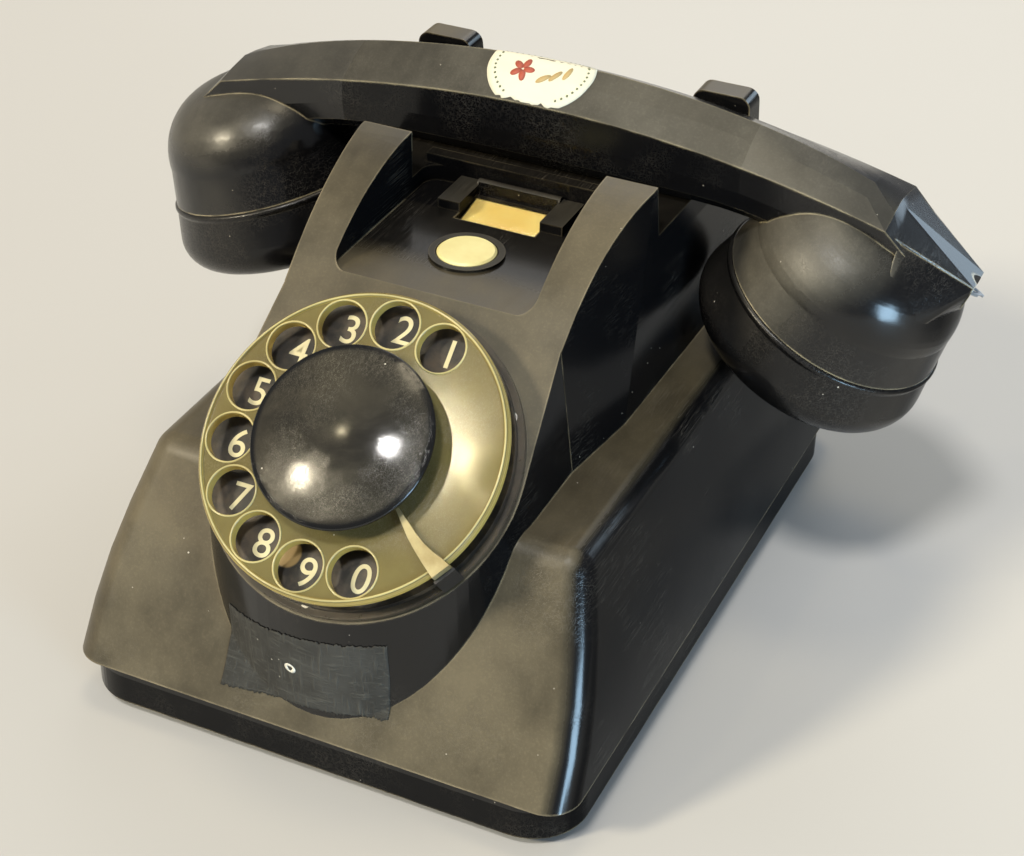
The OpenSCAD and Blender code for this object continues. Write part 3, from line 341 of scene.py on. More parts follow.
def bakelite(name, dust, low, high, gloss, matt, level, bare=(), calm=(), left=1.0, worn=0.85,
             edge=(0.36, 0.30, 0.19)):
    """Old black bakelite: clean and glossy on the walls, paler and duller where it faces up, from
    dust and from painted light.

    The pale coat comes in as the surface turns to DUST_AND_LIGHT_SIDE, from low to high. It is
    dust, and since that side leans to the key and top lamps, it is also painted light: paler
    toward the lamps, darker away from them. Roughness goes from gloss to matt with it. The
    specular level is level, and less on the side walls. bare are boxes with less of
    the coat: less dust, and painted shade under the handset. calm are boxes with less shine.
    left is the coat's share at the left end, so the paler right end is partly a painted sheen.
    worn is how far sharp edges and corners go to the colour edge: wear, and a painted highlight
    of light caught on them.
    """
    m = Net(name, BLACK, gloss, IOR=1.5)

    # Dust, and painted light: the surface is made paler and duller as it turns toward the lamps.
    facing = m.ramp(m.facing(DUST_AND_LIGHT_SIDE), low, high)
    clouds = m.ramp(m.noise(21.0, detail=6.0, rough=0.62), 0.25, 0.75, to_low=0.50)
    strokes = m.stretched((1.0, 0.4, 1.0), turn=(0, 0, 25))
    wiped = m.noise(48.0, detail=5.0, rough=0.6, vector=strokes)
    wiped = m.ramp(wiped, 0.35, 0.7, to_low=1.0, to_high=0.66)
    dust_and_painted_light = m.times(m.times(facing, clouds), wiped)
    # Less of it toward the left end: the paler right end is partly a painted sheen of the lamps.
    dust_and_painted_light = m.times(dust_and_painted_light, m.ramp(m.place_axis(0), *DUST_AND_SHEEN_GROWS, to_low=left))
    # Thinner in the recess and on the deck: less dust, and painted shade under the handset.
    for box, share in bare:
        dust_and_painted_light = m.times(dust_and_painted_light, m.spared(box, share))
    grains = m.ramp(m.noise(1300.0, detail=3.0, rough=0.7), 0.46, 0.72)
    speckle = m.times(grains, m.plus(m.times(dust_and_painted_light, 0.20), 0.006))
    dust_and_painted_light = m.plus(dust_and_painted_light, speckle, clamp=True)

    scr = m.scratches(420.0, 0.012, WIPING_TURNS)
    color = m.mix(dust_and_painted_light, BLACK, dust)
    color = m.mix(m.times(scr, 0.12), color, SCRATCHED)
    patchy = m.ramp(m.noise(90.0), 0.30, 0.66, to_low=0.15 * worn, to_high=worn)
    # Edges and corners turn to the colour edge: wear, and a painted highlight of light caught on
    # them. Less on the deck: painted shade under the handset.
    rubbed_and_lit = m.times(m.times(m.edges(radius=0.0009), patchy), m.spared(DECK, 0.8))
    color = m.mix(rubbed_and_lit, color, edge)
    color = m.mix(m.specks(150.0, size=0.040, share=0.10), color, PALE_GRIT)
    color = m.mix(m.specks(330.0, size=0.060, share=0.06), color, DULL_GRIT)

    rough = m.plus(m.times(dust_and_painted_light, matt - gloss), gloss)
    rough = m.plus(rough, m.times(m.noise(60.0), 0.06))
    rough = m.plus(rough, m.times(scr, 0.12), clamp=True)
    shine = m.ramp(m.sideways(), 0.70, 0.93, to_low=level, to_high=0.10 * level)
    for box, share in calm:
        shine = m.times(shine, m.spared(box, share))
    m.link(shine, m.bsdf.inputs["Specular IOR Level"])

    wavy = m.bump(m.noise(13.0, detail=2.0), strength=0.16, distance=0.004)
    fine = m.noise(800.0, detail=3.0, rough=0.6)
    fine = m.bump(fine, strength=0.05, distance=0.0002, normal=wavy)
    return m.out(color, rough, m.bump(scr, strength=0.2, distance=0.00008, normal=fine))


def black_gloss():
    """The dial's centre cap: polished black, its low dome under a haze of fine scratches."""
    m = Net("cap_black", (0.008, 0.008, 0.008), 0.08, Specular_IOR_Level=0.5)
    scr = m.scratches(900.0, 0.010, DIALLING_TURNS)
    clouds = m.ramp(m.noise(42.0, detail=6.0, rough=0.6, distortion=0.5), 0.30, 0.78)
    dome = m.ramp(m.from_axis(DIAL, DIAL_N), *CAP_DOME, to_low=1.0, to_high=0.0)
    haze = m.times(m.plus(m.times(clouds, 0.65), 0.22), dome)
    color = m.mix(haze, CAP_CLEAN, CAP_HAZE)
    color = m.mix(m.times(m.times(scr, dome), 0.22), color, CAP_SCRATCH)
    color = m.mix(m.specks(230.0, size=0.05, share=0.12), color, CAP_GRIT)
    rough = m.plus(m.times(haze, 0.16), 0.06)
    rough = m.plus(rough, m.times(scr, 0.12), clamp=True)
    fine = m.bump(m.noise(700.0, detail=3.0), strength=0.03, distance=0.0002)
    return m.out(color, rough, m.bump(scr, strength=0.2, distance=0.00006, normal=fine))


def wheel_plastic():
    """Clear plastic gone olive yellow: cloudy and scratched on its face, golden on its edges."""
    m = Net("wheel_clear", (0.30, 0.25, 0.09), 0.08, IOR=1.49, Transmission_Weight=0.46,
            Specular_IOR_Level=0.5)
    clouds = m.ramp(m.noise(38.0, detail=6.0, rough=0.6), 0.3, 0.75)
    scr = m.scratches(900.0, 0.009, DIALLING_TURNS)
    color = m.mix(clouds, OLIVE, DARK_OLIVE)
    # Walls that do not face the dial's way turn golden: a painted glow, for light caught in the
    # plastic's thickness.
    face_on = m.math("ABSOLUTE", m.facing(DIAL_N))
    color = m.mix(m.ramp(face_on, 0.35, 0.80, to_low=1.0, to_high=0.0), color, GOLDEN_EDGE_GLOW)
    color = m.mix(m.times(scr, 0.22), color, WHEEL_SCRATCH)
    color = m.mix(m.specks(240.0, size=0.05, share=0.10), color, WHEEL_GRIT)
    rough = m.plus(m.times(clouds, 0.06), 0.05)
    rough = m.plus(rough, m.times(scr, 0.15), clamp=True)
    return m.out(color, rough, m.bump(scr, strength=0.15, distance=0.00008))


def number_plate():
    """Enamelled plate under the wheel, browned by fingers and worn through at one place."""
    m = Net("number_plate_black", (0.02, 0.018, 0.015), 0.4)
    clouds = m.ramp(m.noise(110.0, detail=6.0, rough=0.65), 0.40, 0.72)
    color = m.mix(m.times(clouds, 0.55), PLATE_CLEAN, PLATE_BROWNED)
    worn = m.ramp(m.from_point(WORN_PLACE), *WORN_RADIUS, to_low=1.0, to_high=0.0)
    color = m.mix(m.times(worn, 0.9), color, PLATE_WORN)
    rough = m.plus(m.times(clouds, 0.2), 0.34)
    return m.out(color, rough, m.bump(clouds, strength=0.1, distance=0.0002))


def plain(name, color, rough, grain=400.0, vary=0.25, metal=0.0, second=None, **fixed):
    """A finish that varies in clouds to a second colour, or to a darker one, with a fine grain."""
    m = Net(name, color, rough, Metallic=metal, **fixed)
    clouds = m.ramp(m.noise(grain * 0.12, detail=5.0, rough=0.6), 0.3, 0.7)
    other = second or tuple(c * (1.0 - vary) for c in color)
    fine = m.noise(grain, detail=3.0, rough=0.6)
    return m.out(m.mix(clouds, color, other), m.plus(m.times(fine, 0.16), rough - 0.06),
                 m.bump(fine, strength=0.08, distance=0.0003))


M = {
    "bakelite": bakelite("bakelite_housing", (0.138, 0.115, 0.070), low=0.52, high=0.80,
                         gloss=0.13, matt=0.48, level=0.42, bare=((RECESS, 0.95), (DECK, 0.92)),
                         calm=((SKIRT, 0.7), (DECK, 0.6), (RECESS, 0.55))),
    "frame": bakelite("bakelite_frame", (0.050, 0.045, 0.034), low=0.52, high=0.90,
                      gloss=0.22, matt=0.46, level=0.30, worn=0.18),
    # The handset's and cups' pale edge colours are mostly a painted highlight along the grip's
    # edge and the cups' seams.
    "handset": bakelite("bakelite_handset", (0.140, 0.130, 0.104), low=0.50, high=0.92,
                        gloss=0.15, matt=0.48, level=0.50, calm=((GRIP, 0.6),), left=0.72,
                        worn=0.95, edge=(0.60, 0.52, 0.33)),
    "cup": bakelite("bakelite_cups", (0.026, 0.024, 0.021), low=0.45, high=1.0,
                    gloss=0.18, matt=0.34, level=0.38, edge=(0.50, 0.45, 0.34)),
    "cap": black_gloss(),
    "wheel": wheel_plastic(),
    "plate": number_plate(),
    "ring": plain("dial_enamel", (0.030, 0.024, 0.018), 0.28, second=(0.085, 0.066, 0.044)),
    # Pale beads: a painted highlight of light caught at the moulded rims.
    "rim": plain("wheel_rim", (0.66, 0.57, 0.26), 0.16, vary=0.3),
    "digits": plain("digit_cream", (0.80, 0.74, 0.46), 0.45),
    "button": plain("button_cream", (0.92, 0.86, 0.44), 0.36, 500.0, second=(0.80, 0.70, 0.30)),
    "card": plain("card_paper", (1.0, 0.82, 0.28), 0.75, 700.0, second=(0.95, 0.68, 0.18)),
    "glass": plain("window_clear", (1.0, 0.97, 0.86), 0.10, vary=0.04, Transmission_Weight=1.0,
                   IOR=1.3, Alpha=0.3),
    "steel": plain("plain_steel", (0.55, 0.54, 0.51), 0.34, metal=1.0),
    "stop": plain("stop_nickel", (0.46, 0.40, 0.22), 0.50, 900.0, metal=0.5,
                  second=(0.30, 0.24, 0.11)),
    "brass": plain("dull_brass", (0.62, 0.47, 0.22), 0.36, metal=1.0),
    "rubber": plain("black_rubber", (0.02, 0.02, 0.02), 0.75),
    "grey_metal": plain("grey_lacquer", (0.22, 0.22, 0.21), 0.45),
    "laminate": plain("brown_laminate", (0.16, 0.07, 0.03), 0.5),
    "winding": plain("varnished_winding", (0.20, 0.06, 0.03), 0.4),
    "can": plain("plain_can", (0.5, 0.5, 0.49), 0.42, metal=1.0),
    "clip": plain("clip_dark", (0.02, 0.02, 0.022), 0.35),
    "paper": plain("sticker_paper", (0.86, 0.83, 0.66), 0.62, 500.0, vary=0.08),
    "print_red": plain("print_red", (0.56, 0.12, 0.07), 0.6, vary=0.3),
    "print_green": plain("print_green", (0.20, 0.23, 0.13), 0.6, vary=0.3),
    "print_tan": plain("print_tan", (0.62, 0.45, 0.20), 0.6, vary=0.3),
    "paint": plain("white_paint", (0.82, 0.80, 0.70), 0.5, vary=0.1),
    "wire": plain("wire_ends", (0.55, 0.60, 0.66), 0.32, metal=0.5, vary=0.3),
}

CAD_LOOK = {
    "steel": ["base_screws", "dial_screws", "hub_screw", "lever_pin", "armature_pin",
              "gong_screws", "button_spring", "hook_spring", "return_spring", "hook_plungers",
              "hook_lever", "clapper"],
    "brass": ["button_contacts", "impulse_contacts", "hook_contacts", "main_gear", "relay_arbor",
              "governor", "governor_drum", "dial_bridge", "dial_spindle", "capsule_contacts",
              "cap_clip", "gongs"],
    "grey_metal": ["base_plate", "hook_bracket", "ringer_frame", "gong_posts"],
    "rubber": ["rubber_feet", "cord_bushes", "handset_bush"],
    "button": ["earth_button"],
    "card": ["card"],
    "glass": ["card_window"],
    "ring": ["dial_case"],
    "plate": ["number_plate"],
    "clip": ["stop_clip"],
    "stop": ["finger_stop"],
    "laminate": ["impulse_cam", "terminal_block"],
    "winding": ["ringer_coils", "induction_coil"],
    "can": ["capacitor", "receiver_capsule", "transmitter_capsule"],
    "frame": ["button_bezel", "card_frame"],
}
for look, names in CAD_LOOK.items():
    for name in names:
        data = nodes[name].data
        data.materials.clear()
        data.materials.append(M[look])


# ------------------------------------------------------------------ piece helpers
def body_of(node):
    for body, members in frame["record"]["behaviour"]["bodies"].items():
        if node in members:
            return body
    raise ValueError(node)


def add(name, mesh, material, body):
    o = linked(name, mesh)
    mesh.materials.clear()
    mesh.materials.append(material)
    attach(o, body)
    return o


def smooth(mesh, angle):
    """Smooth shading, but for edges sharper than an angle in degrees."""
    for p in mesh.polygons:
        p.use_smooth = True
    mesh.set_sharp_from_angle(angle=math.radians(angle))


# ------------------------------------------------------------------ shells around CAD nodes
WELD = 2e-6                                       # points nearer than this are one, in metres
FLAT = math.radians(0.6)                          # faces that differ less are one


def shell(node, name, material, angle, bevel=0.0, segments=2):
    """A node's own shape with welded points, even shading and soft edges."""
    bm = bmesh.new()
    bm.from_mesh(nodes[node].data)
    bmesh.ops.remove_doubles(bm, verts=bm.verts, dist=WELD)
    bmesh.ops.dissolve_limit(bm, angle_limit=FLAT, verts=bm.verts, edges=bm.edges)
    mesh = bpy.data.meshes.new(name)
    bm.to_mesh(mesh)
    bm.free()
    smooth(mesh, angle)
    o = add(name, mesh, material, body_of(node))
    if bevel:
        mod = o.modifiers.new("soft_edges", "BEVEL")
        mod.limit_method = "ANGLE"
        mod.angle_limit = math.radians(angle)
        mod.width = bevel
        mod.segments = segments
    even = o.modifiers.new("even_shading", "WEIGHTED_NORMAL")
    even.keep_sharp = True
    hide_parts(node)
    return o


shell("housing", "housing_shell", M["bakelite"], angle=24.0, bevel=0.0007)
shell("handset_body", "handset_shell", M["handset"], angle=20.0, bevel=0.0008)
shell("receiver_cap", "receiver_cap_shell", M["cup"], angle=30.0, bevel=0.0003)
shell("mouthpiece_cap", "mouthpiece_cap_shell", M["cup"], angle=30.0, bevel=0.0003)
shell("centre_cap", "centre_cap_shell", M["cap"], angle=30.0, bevel=0.0005, segments=3)
shell("finger_wheel", "finger_wheel_shell", M["wheel"], angle=30.0, bevel=0.0005, segments=3)

# The button's spring, in a shell with a mesh of its own
spring = shell("button_spring", "button_spring_shell", M["steel"], angle=40.0)
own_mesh(spring)

# ------------------------------------------------------------------ flanks of the cord entry
FLANK_FROM = at(107.0, GRIP_Y, 98.0)              # the flanks lie beyond this x and above this z
FLANK_CLEAR = 3.6                                 # from the handset's middle plane
FLANK_DRAWN_IN = 0.985
FLANK_WELD = 1e-5                                 # metres
FLANK_SHARP = 35.0                                # degrees


def entry_flank(name, side):
    """The moulding's full side between the cup and one side of the cord entry."""
    bm = bmesh.new()
    for v in nodes["handset_body"].data.vertices:
        away = side * (v.co.y - FLANK_FROM.y)
        if v.co.x > FLANK_FROM.x and v.co.z > FLANK_FROM.z and away > FLANK_CLEAR * MM:
            bm.verts.new(v.co)
    hull = bmesh.ops.convex_hull(bm, input=bm.verts)
    inner = {g for g in hull["geom_interior"] if isinstance(g, bmesh.types.BMVert)}
    bmesh.ops.delete(bm, geom=list(inner), context="VERTS")
    bmesh.ops.remove_doubles(bm, verts=bm.verts, dist=FLANK_WELD)
    middle = sum((v.co for v in bm.verts), Vector()) / len(bm.verts)
    for v in bm.verts:
        v.co = middle + (v.co - middle) * FLANK_DRAWN_IN
    mesh = bpy.data.meshes.new(name)
    bm.to_mesh(mesh)
    bm.free()
    smooth(mesh, FLANK_SHARP)
    add(name, mesh, M["handset"], "handset")


entry_flank("entry_flank_front", -1)
entry_flank("entry_flank_rear", 1)

# ------------------------------------------------------------------ digits on the number plate
DIGIT_RING, DIGIT_LIFT = 34.2, 0.06
DIGIT_SIZE, DIGIT_THICK = 0.0112, 0.00004         # metres


def digit(text, angle):
    curve = bpy.data.curves.new("digit_" + text, "FONT")
    curve.body = text
    curve.size = DIGIT_SIZE
    curve.offset = DIGIT_THICK
    curve.extrude = DIGIT_THICK
    curve.align_x, curve.align_y = "CENTER", "CENTER"
    tmp = linked("tmp", curve)
    bpy.context.view_layer.update()
    depsgraph = bpy.context.evaluated_depsgraph_get()
    mesh = bpy.data.meshes.new_from_object(tmp.evaluated_get(depsgraph))
    bpy.data.objects.remove(tmp)
    place = on_dial(*around(DIGIT_RING, angle), PLATE_TOP + DIGIT_LIFT)
    basis = Matrix((DIAL_X, DIAL_UP, DIAL_N)).transposed().to_4x4()
    mesh.transform(Matrix.Translation(place) @ basis)
    add("digit_" + text, mesh, M["digits"], "base")


for text, angle in zip("1234567890", HOLE_TURNS):
    digit(text, angle)

# ------------------------------------------------------------------ thin pieces laid on the set
BACKWARD, DOWN = Vector((0.0, 1.0, 0.0)), Vector((0.0, 0.0, -1.0))
OVER_DIAL, BEFORE_SET, OVER_SET = 20.0, -30.0, 170.0  # where rays towards the set start
THIN_SHARP, BEAD_SHARP = 50.0, 80.0               # degrees


def tree_of(node):
    mesh = nodes[node].data
    return BVHTree.FromPolygons([v.co for v in mesh.vertices],
                                [tuple(p.vertices) for p in mesh.polygons])


def laid(tree, start, direction, lift):
    """The point where a ray from start meets the surface, lifted off it by lift millimetres."""
    place, normal, _, _ = tree.ray_cast(start, direction)
    if normal.dot(direction) > 0:
        normal = -normal
    return place + normal * lift * MM


def thin(name, points, faces, material, body, thickness):
    """A piece with the given front faces and a little thickness behind them."""
    mesh = bpy.data.meshes.new(name)
    mesh.from_pydata(points, [], faces)
    smooth(mesh, THIN_SHARP)
    mod = add(name, mesh, material, body).modifiers.new("thickness", "SOLIDIFY")
    mod.thickness = thickness * MM
    mod.offset = -1.0                             # all of it behind the front


# ------------------------------------------------------------------ beads on the finger wheel
# The beads' pale colour is a painted highlight: light caught at the wheel's moulded rims.
BEAD, BEAD_SIDES, BEAD_SEAT = 0.28, 8, 0.1        # radius, sides, its middle's height in radii
HOLE_RING, HOLE_RIM, HOLE_STEPS = 33.7, 6.85, 40
WHEEL_RIM, WHEEL_STEPS = 41.1, 160


def rims(tree, rings):
    """Raised round beads on the finger wheel: (middle x, middle y, radius, steps) of each."""
    points, faces = [], []
    for x, y, radius, steps in rings:
        first = len(points)
        for a in turns(steps):
            outward = DIAL_X * math.cos(a) + DIAL_UP * math.sin(a)
            start = on_dial(x + radius * math.cos(a), y + radius * math.sin(a), OVER_DIAL)
            seat = laid(tree, start, -DIAL_N, 0.0)
            for b in turns(BEAD_SIDES):
                off = outward * math.cos(b) + DIAL_N * (BEAD_SEAT + math.sin(b))
                points.append(seat + off * BEAD * MM)
        for k in range(steps):
            here, after = first + k * BEAD_SIDES, first + (k + 1) % steps * BEAD_SIDES
            for j in range(BEAD_SIDES):
                up_one = (j + 1) % BEAD_SIDES
                faces.append((here + j, here + up_one, after + up_one, after + j))
    mesh = bpy.data.meshes.new("wheel_rims")
    mesh.from_pydata(points, [], faces)
    smooth(mesh, BEAD_SHARP)
    add("wheel_rims", mesh, M["rim"], "dial")


hole_rings = [(*around(HOLE_RING, angle), HOLE_RIM, HOLE_STEPS) for angle in HOLE_TURNS]
rims(tree_of("finger_wheel"), hole_rings + [(0.0, 0.0, WHEEL_RIM, WHEEL_STEPS)])

# ------------------------------------------------------------------ adhesive tape
TAPE_X = (-28.0, 21.6)                            # from its left end to its right end
TAPE_LOW = (17.0, 21.2)                           # its lower edge at those ends
TAPE_HIGH = (39.6, 46.0)                          # its upper edge there
TAPE_COLS, TAPE_ROWS = 110, 36
TAPE_FRAY = 0.22                                  # how uneven its long edges are
TAPE_WAVE, WAVE_DOWN, WAVE_ALONG = 0.12, 9.0, 3.0     # how far its ends wave, and in what phase
TAPE_WEAVE = 0.12                                 # noise drawn out into threads
TAPE_LIFT, TAPE_THICK = 0.30, 0.25
TAPE_DARK, TAPE_GREY = (0.026, 0.025, 0.021), (0.050, 0.050, 0.045)
TAPE_THREAD, TAPE_FLUFF = (0.15, 0.15, 0.13), (0.36, 0.35, 0.31)
PAINT_X, PAINT_Z, PAINT_STEPS = -5.5, 31.4, 22
PAINT_INNER, PAINT_OUTER = (0.75, 0.12), (1.55, 0.18)     # radius, and how uneven it is
PAINT_LIFT, PAINT_THICK = 0.40, 0.12


def tape_cloth():
    """Grey adhesive cloth tape: woven, furry, paler where its threads stand up."""
    m = Net("cloth_tape", (0.07, 0.07, 0.065), 0.85)
    upright, level = m.stretched((1.0, 1.0, TAPE_WEAVE)), m.stretched((TAPE_WEAVE, 1.0, 1.0))
    across = m.noise(900.0, detail=3.0, rough=0.6, vector=upright)
    along = m.noise(900.0, detail=3.0, rough=0.6, vector=level)
    weave = m.ramp(m.math("MAXIMUM", across, along), 0.48, 0.80)
    clouds = m.ramp(m.noise(90.0, detail=5.0, rough=0.6), 0.30, 0.72)
    color = m.mix(clouds, TAPE_DARK, TAPE_GREY)
    color = m.mix(m.times(weave, 0.40), color, TAPE_THREAD)
    color = m.mix(m.specks(420.0, size=0.11, share=0.16), color, TAPE_FLUFF)
    return m.out(color, normal=m.bump(weave, strength=0.8, distance=0.0004))


def tape(tree):
    """A strip of tape across the column's front, frayed along both edges."""
    frays = [(random.gauss(0, TAPE_FRAY), random.gauss(0, TAPE_FRAY))
             for _ in range(TAPE_COLS + 1)]
    points = []
    for r in range(TAPE_ROWS + 1):
        v = r / TAPE_ROWS
        for c in range(TAPE_COLS + 1):
            u = c / TAPE_COLS
            low = between(TAPE_LOW, u) + frays[c][0]
            high = between(TAPE_HIGH, u) + frays[c][1]
            x = between(TAPE_X, u) + TAPE_WAVE * math.sin(WAVE_DOWN * v + WAVE_ALONG * u)
            start = at(x, BEFORE_SET, between((low, high), v))
            points.append(laid(tree, start, BACKWARD, TAPE_LIFT))
    row = TAPE_COLS + 1
    faces = [(r * row + c, r * row + c + 1, (r + 1) * row + c + 1, (r + 1) * row + c)
             for r in range(TAPE_ROWS) for c in range(TAPE_COLS)]
    thin("adhesive_tape", points, faces, tape_cloth(), "base", TAPE_THICK)


def paint_ring(tree):
    """A small uneven ring of paint on the tape."""
    points, count = [], 2 * PAINT_STEPS
    for a in turns(PAINT_STEPS):
        inner = PAINT_INNER[0] + PAINT_INNER[1] * math.sin(3 * a)
        outer = PAINT_OUTER[0] + PAINT_OUTER[1] * math.cos(2 * a + 0.6)
        for radius in (inner, outer):
            start = at(PAINT_X + radius * math.cos(a), BEFORE_SET, PAINT_Z + radius * math.sin(a))
            points.append(laid(tree, start, BACKWARD, PAINT_LIFT))
    faces = [(k, k + 1, (k + 3) % count, (k + 2) % count) for k in range(0, count, 2)]
    thin("paint_ring", points, faces, M["paint"], "base", PAINT_THICK)


housing_tree = tree_of("housing")
tape(housing_tree)
paint_ring(housing_tree)

# ------------------------------------------------------------------ sticker
STICKER = (-3.0, 149.6)                           # its middle on the grip, x and y
STICKER_HALF = (16.2, 12.6)
STICKER_FRONT, STICKER_TEAR = 10.3, 0.28          # from its middle to the torn edge, and its teeth
STICKER_RINGS, STICKER_SPOKES = 9, 96
PAPER_LIFT, PAPER_THICK = 0.16, 0.12
PRINT_LIFT, FLOWER_LIFT, PRINT_THICK = 0.24, 0.26, 0.06
DOT_COUNT, DOT_RADIUS, DOT_SIDES = 46, 0.34, 8
DOT_OVAL = (0.86, 0.82)                           # the dotted border's share of the sticker
DOT_CLEAR = 1.4                                   # from the torn edge
FLOWER, FLOWER_RING = (-5.2, -1.6), 2.0           # its middle, and the ring of its petals
PETAL, PETAL_STEP = (1.7, 1.0), 72                # half length and width, and degrees to the next
LEAF, LEAF_COUNT = (2.3, 0.8), 3
LEAF_FIRST, LEAF_STEP = (2.0, -3.4, 35), (3.1, 1.5, 20)   # x, y and turn, and what each adds


def on_sticker(tree, x, y, lift):
    return laid(tree, at(STICKER[0] + x, STICKER[1] + y, OVER_SET), DOWN, lift)


def patch(name, tree, outlines, material, lift):
    """Small flat shapes, each a fan around its middle, in one piece."""
    points, faces = [], []
    for middle, outline in outlines:
        first = len(points)
        points.append(on_sticker(tree, *middle, lift))
        points.extend(on_sticker(tree, x, y, lift) for x, y in outline)
        n = len(outline)
        faces.extend((first, first + 1 + k, first + 1 + (k + 1) % n) for k in range(n))
    thin(name, points, faces, material, "handset", PRINT_THICK)


def oval(x, y, rx, ry, turn=0.0, count=14):
    """An oval's middle and outline, turned by degrees."""
    c, s = math.cos(math.radians(turn)), math.sin(math.radians(turn))
    ring = [(rx * math.cos(angle), ry * math.sin(angle)) for angle in turns(count)]
    return (x, y), [(x + a * c - b * s, y + a * s + b * c) for a, b in ring]


def paper(tree):
    """The sticker's oval paper, torn along its front edge."""
    reach = []
    for a in turns(STICKER_SPOKES):
        cut = STICKER_FRONT + random.gauss(0, STICKER_TEAR)
        down = -STICKER_HALF[1] * math.sin(a)
        reach.append(min(1.0, cut / down) if down > 0 else 1.0)
    points = [on_sticker(tree, 0, 0, PAPER_LIFT)]
    for r in range(1, STICKER_RINGS + 1):
        for a, full in zip(turns(STICKER_SPOKES), reach):
            share = full * r / STICKER_RINGS
            points.append(on_sticker(tree, STICKER_HALF[0] * math.cos(a) * share,
                                     STICKER_HALF[1] * math.sin(a) * share, PAPER_LIFT))
    after = [(k + 1) % STICKER_SPOKES for k in range(STICKER_SPOKES)]
    faces = [(0, 1 + k, 1 + after[k]) for k in range(STICKER_SPOKES)]
    for r in range(STICKER_RINGS - 1):
        first = 1 + r * STICKER_SPOKES
        for k in range(STICKER_SPOKES):
            a, b = first + k, first + after[k]
            faces.append((a, a + STICKER_SPOKES, b + STICKER_SPOKES, b))
    thin("paper_sticker", points, faces, M["paper"], "handset", PAPER_THICK)


def prints(tree):
    """The sticker's plain print: a dotted border, a flower and leaves."""
    dots = []
    for a in turns(DOT_COUNT):
        x = DOT_OVAL[0] * STICKER_HALF[0] * math.cos(a)
        y = DOT_OVAL[1] * STICKER_HALF[1] * math.sin(a)
        if y > DOT_CLEAR - STICKER_FRONT:
            dots.append(oval(x, y, DOT_RADIUS, DOT_RADIUS, count=DOT_SIDES))
    patch("sticker_dots", tree, dots, M["print_green"], PRINT_LIFT)
    petals = []
    for turn in range(0, 360, PETAL_STEP):
        x, y = around(FLOWER_RING, math.radians(turn))
        petals.append(oval(FLOWER[0] + x, FLOWER[1] + y, *PETAL, turn))
    patch("sticker_flower", tree, petals, M["print_red"], FLOWER_LIFT)
    leaves = []
    for k in range(LEAF_COUNT):
        x, y, turn = (first + step * k for first, step in zip(LEAF_FIRST, LEAF_STEP))
        leaves.append(oval(x, y, *LEAF, turn))
    patch("sticker_leaves", tree, leaves, M["print_tan"], PRINT_LIFT)


handset_tree = tree_of("handset_body")
paper(handset_tree)
prints(handset_tree)

# ------------------------------------------------------------------ wire ends at the cord entry
WIRE_OUT = Vector((0.927, 0.0, -0.375))
WIRE_UP = Vector((0.375, 0.0, 0.927))
WIRE_MOUTH = at(BEAK_X - 1.5, GRIP_Y, BEAK_Z - 3.8)
WIRE_RADIUS, WIRE_INSIDE, WIRE_STEPS = 0.42, 4.0, 6
WIRE_BEND = 0.12
WIRES = ((-0.9, 0.5, 2.6, 0.5), (0.7, 0.7, 3.4, -0.3), (0.1, -0.8, 2.0, 0.7))


def wire_ends():
    """The cut conductors that stand out of the handset's cord entry.

    WIRES says where each starts, across and up, how far it stands out and how it bends.
    """
    curve = bpy.data.curves.new("wire_ends", "CURVE")
    curve.dimensions = "3D"
    curve.bevel_depth = WIRE_RADIUS * MM
    curve.bevel_resolution = 2
    curve.use_fill_caps = True
    for y, z, length, bend in WIRES:
        spline = curve.splines.new("POLY")
        spline.points.add(WIRE_STEPS)
        for k in range(WIRE_STEPS + 1):
            s = -WIRE_INSIDE + (WIRE_INSIDE + length) * k / WIRE_STEPS
            side = bend * max(0.0, s) ** 2 * WIRE_BEND
            off = WIRE_OUT * s + WIRE_UP * (z + side) + Vector((0.0, y + side, 0.0))
            spline.points[k].co = (*(WIRE_MOUTH + off * MM), 1.0)
    curve.materials.append(M["wire"])
    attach(linked("wire_ends", curve), "handset")


wire_ends()

# ------------------------------------------------------------------ floor and light
FLOOR = 6.0                                       # half its side
FLOOR_PALE, FLOOR_SHADE = (0.63, 0.62, 0.60), (0.60, 0.59, 0.57)
SKY, SKY_STRENGTH = (0.92, 0.95, 1.0, 1.0), 0.24

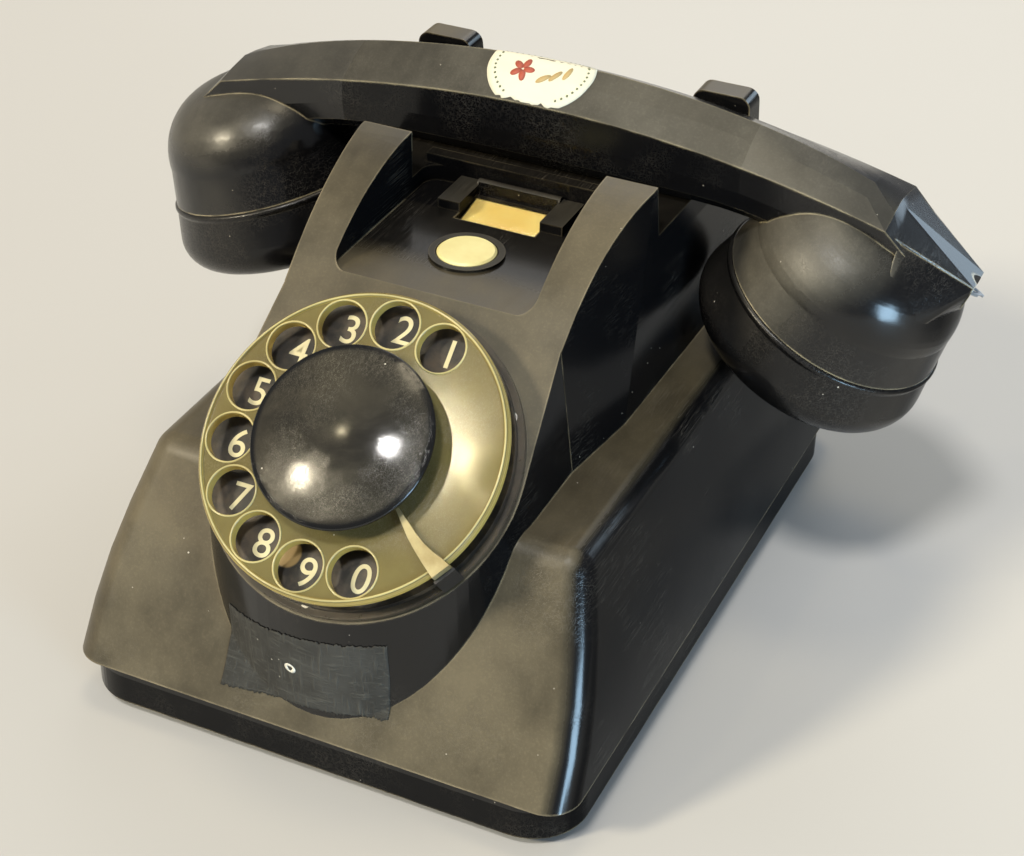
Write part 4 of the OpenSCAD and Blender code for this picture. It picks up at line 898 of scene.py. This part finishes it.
floor_mesh = bpy.data.meshes.new("floor")
floor_corners = [(-FLOOR, -FLOOR, 0), (FLOOR, -FLOOR, 0), (FLOOR, FLOOR, 0), (-FLOOR, FLOOR, 0)]
floor_mesh.from_pydata(floor_corners, [], [(0, 1, 2, 3)])
floor = linked("floor", floor_mesh)
pale = Net("floor_pale", (0.62, 0.61, 0.59), 0.6, Specular_IOR_Level=0.3)
floor_color = pale.mix(pale.noise(3.0, detail=3.0), FLOOR_PALE, FLOOR_SHADE)
floor_mesh.materials.append(pale.out(floor_color))


def lamp(name, kind, place, aim, power, color):
    data = bpy.data.lights.new(name, kind)
    data.energy, data.color = power, color
    o = linked(name, data)
    o.location = place
    o.rotation_euler = (Vector(aim) - Vector(place)).to_track_quat("-Z", "Y").to_euler()
    return data


def sun(name, place, power, spread, color):
    """A soft, distant lamp, which lights the floor evenly."""
    lamp(name, "SUN", place, (0, 0, 0), power, color).angle = math.radians(spread)


def panel(name, place, aim, size, power, color):
    """A rectangular lamp, which shows in the gloss as a window does."""
    data = lamp(name, "AREA", place, aim, power, color)
    data.shape = "RECTANGLE"
    data.size, data.size_y = size


sun("key", (-0.55, -0.65, 0.52), power=2.1, spread=9.0, color=(1.0, 0.88, 0.64))
sun("top", (0.0, -0.48, 0.88), power=1.4, spread=9.0, color=(1.0, 0.98, 0.94))
sun("glint", (-0.376, -0.424, 0.823), power=0.10, spread=2.0, color=(1.0, 0.86, 0.54))
panel("side", (1.30, -0.75, 0.22), aim=(0.03, -0.09, 0.06), size=(0.45, 0.42), power=12.0,
      color=(0.50, 0.76, 1.0))
panel("rear", (-0.3, 1.5, 1.2), aim=(0.0, 0.0, 0.08), size=(1.0, 1.0), power=6.0,
      color=(1.0, 0.98, 0.94))
panel("window", (0.75, 1.34, 0.56), aim=(0.12, 0.05, 0.11), size=(0.60, 0.45), power=3.2,
      color=(0.66, 0.84, 1.0))
panel("ceiling", (-0.06, 0.16, 1.60), aim=(0.09, 0.03, 0.11), size=(0.42, 0.42), power=3.6,
      color=(1.0, 0.86, 0.60))

world = bpy.data.worlds.new("world")
bpy.context.scene.world = world
world.use_nodes = True
background = world.node_tree.nodes["Background"]
background.inputs["Color"].default_value = SKY
background.inputs["Strength"].default_value = SKY_STRENGTH
bpy.context.scene.view_settings.view_transform = "Standard"
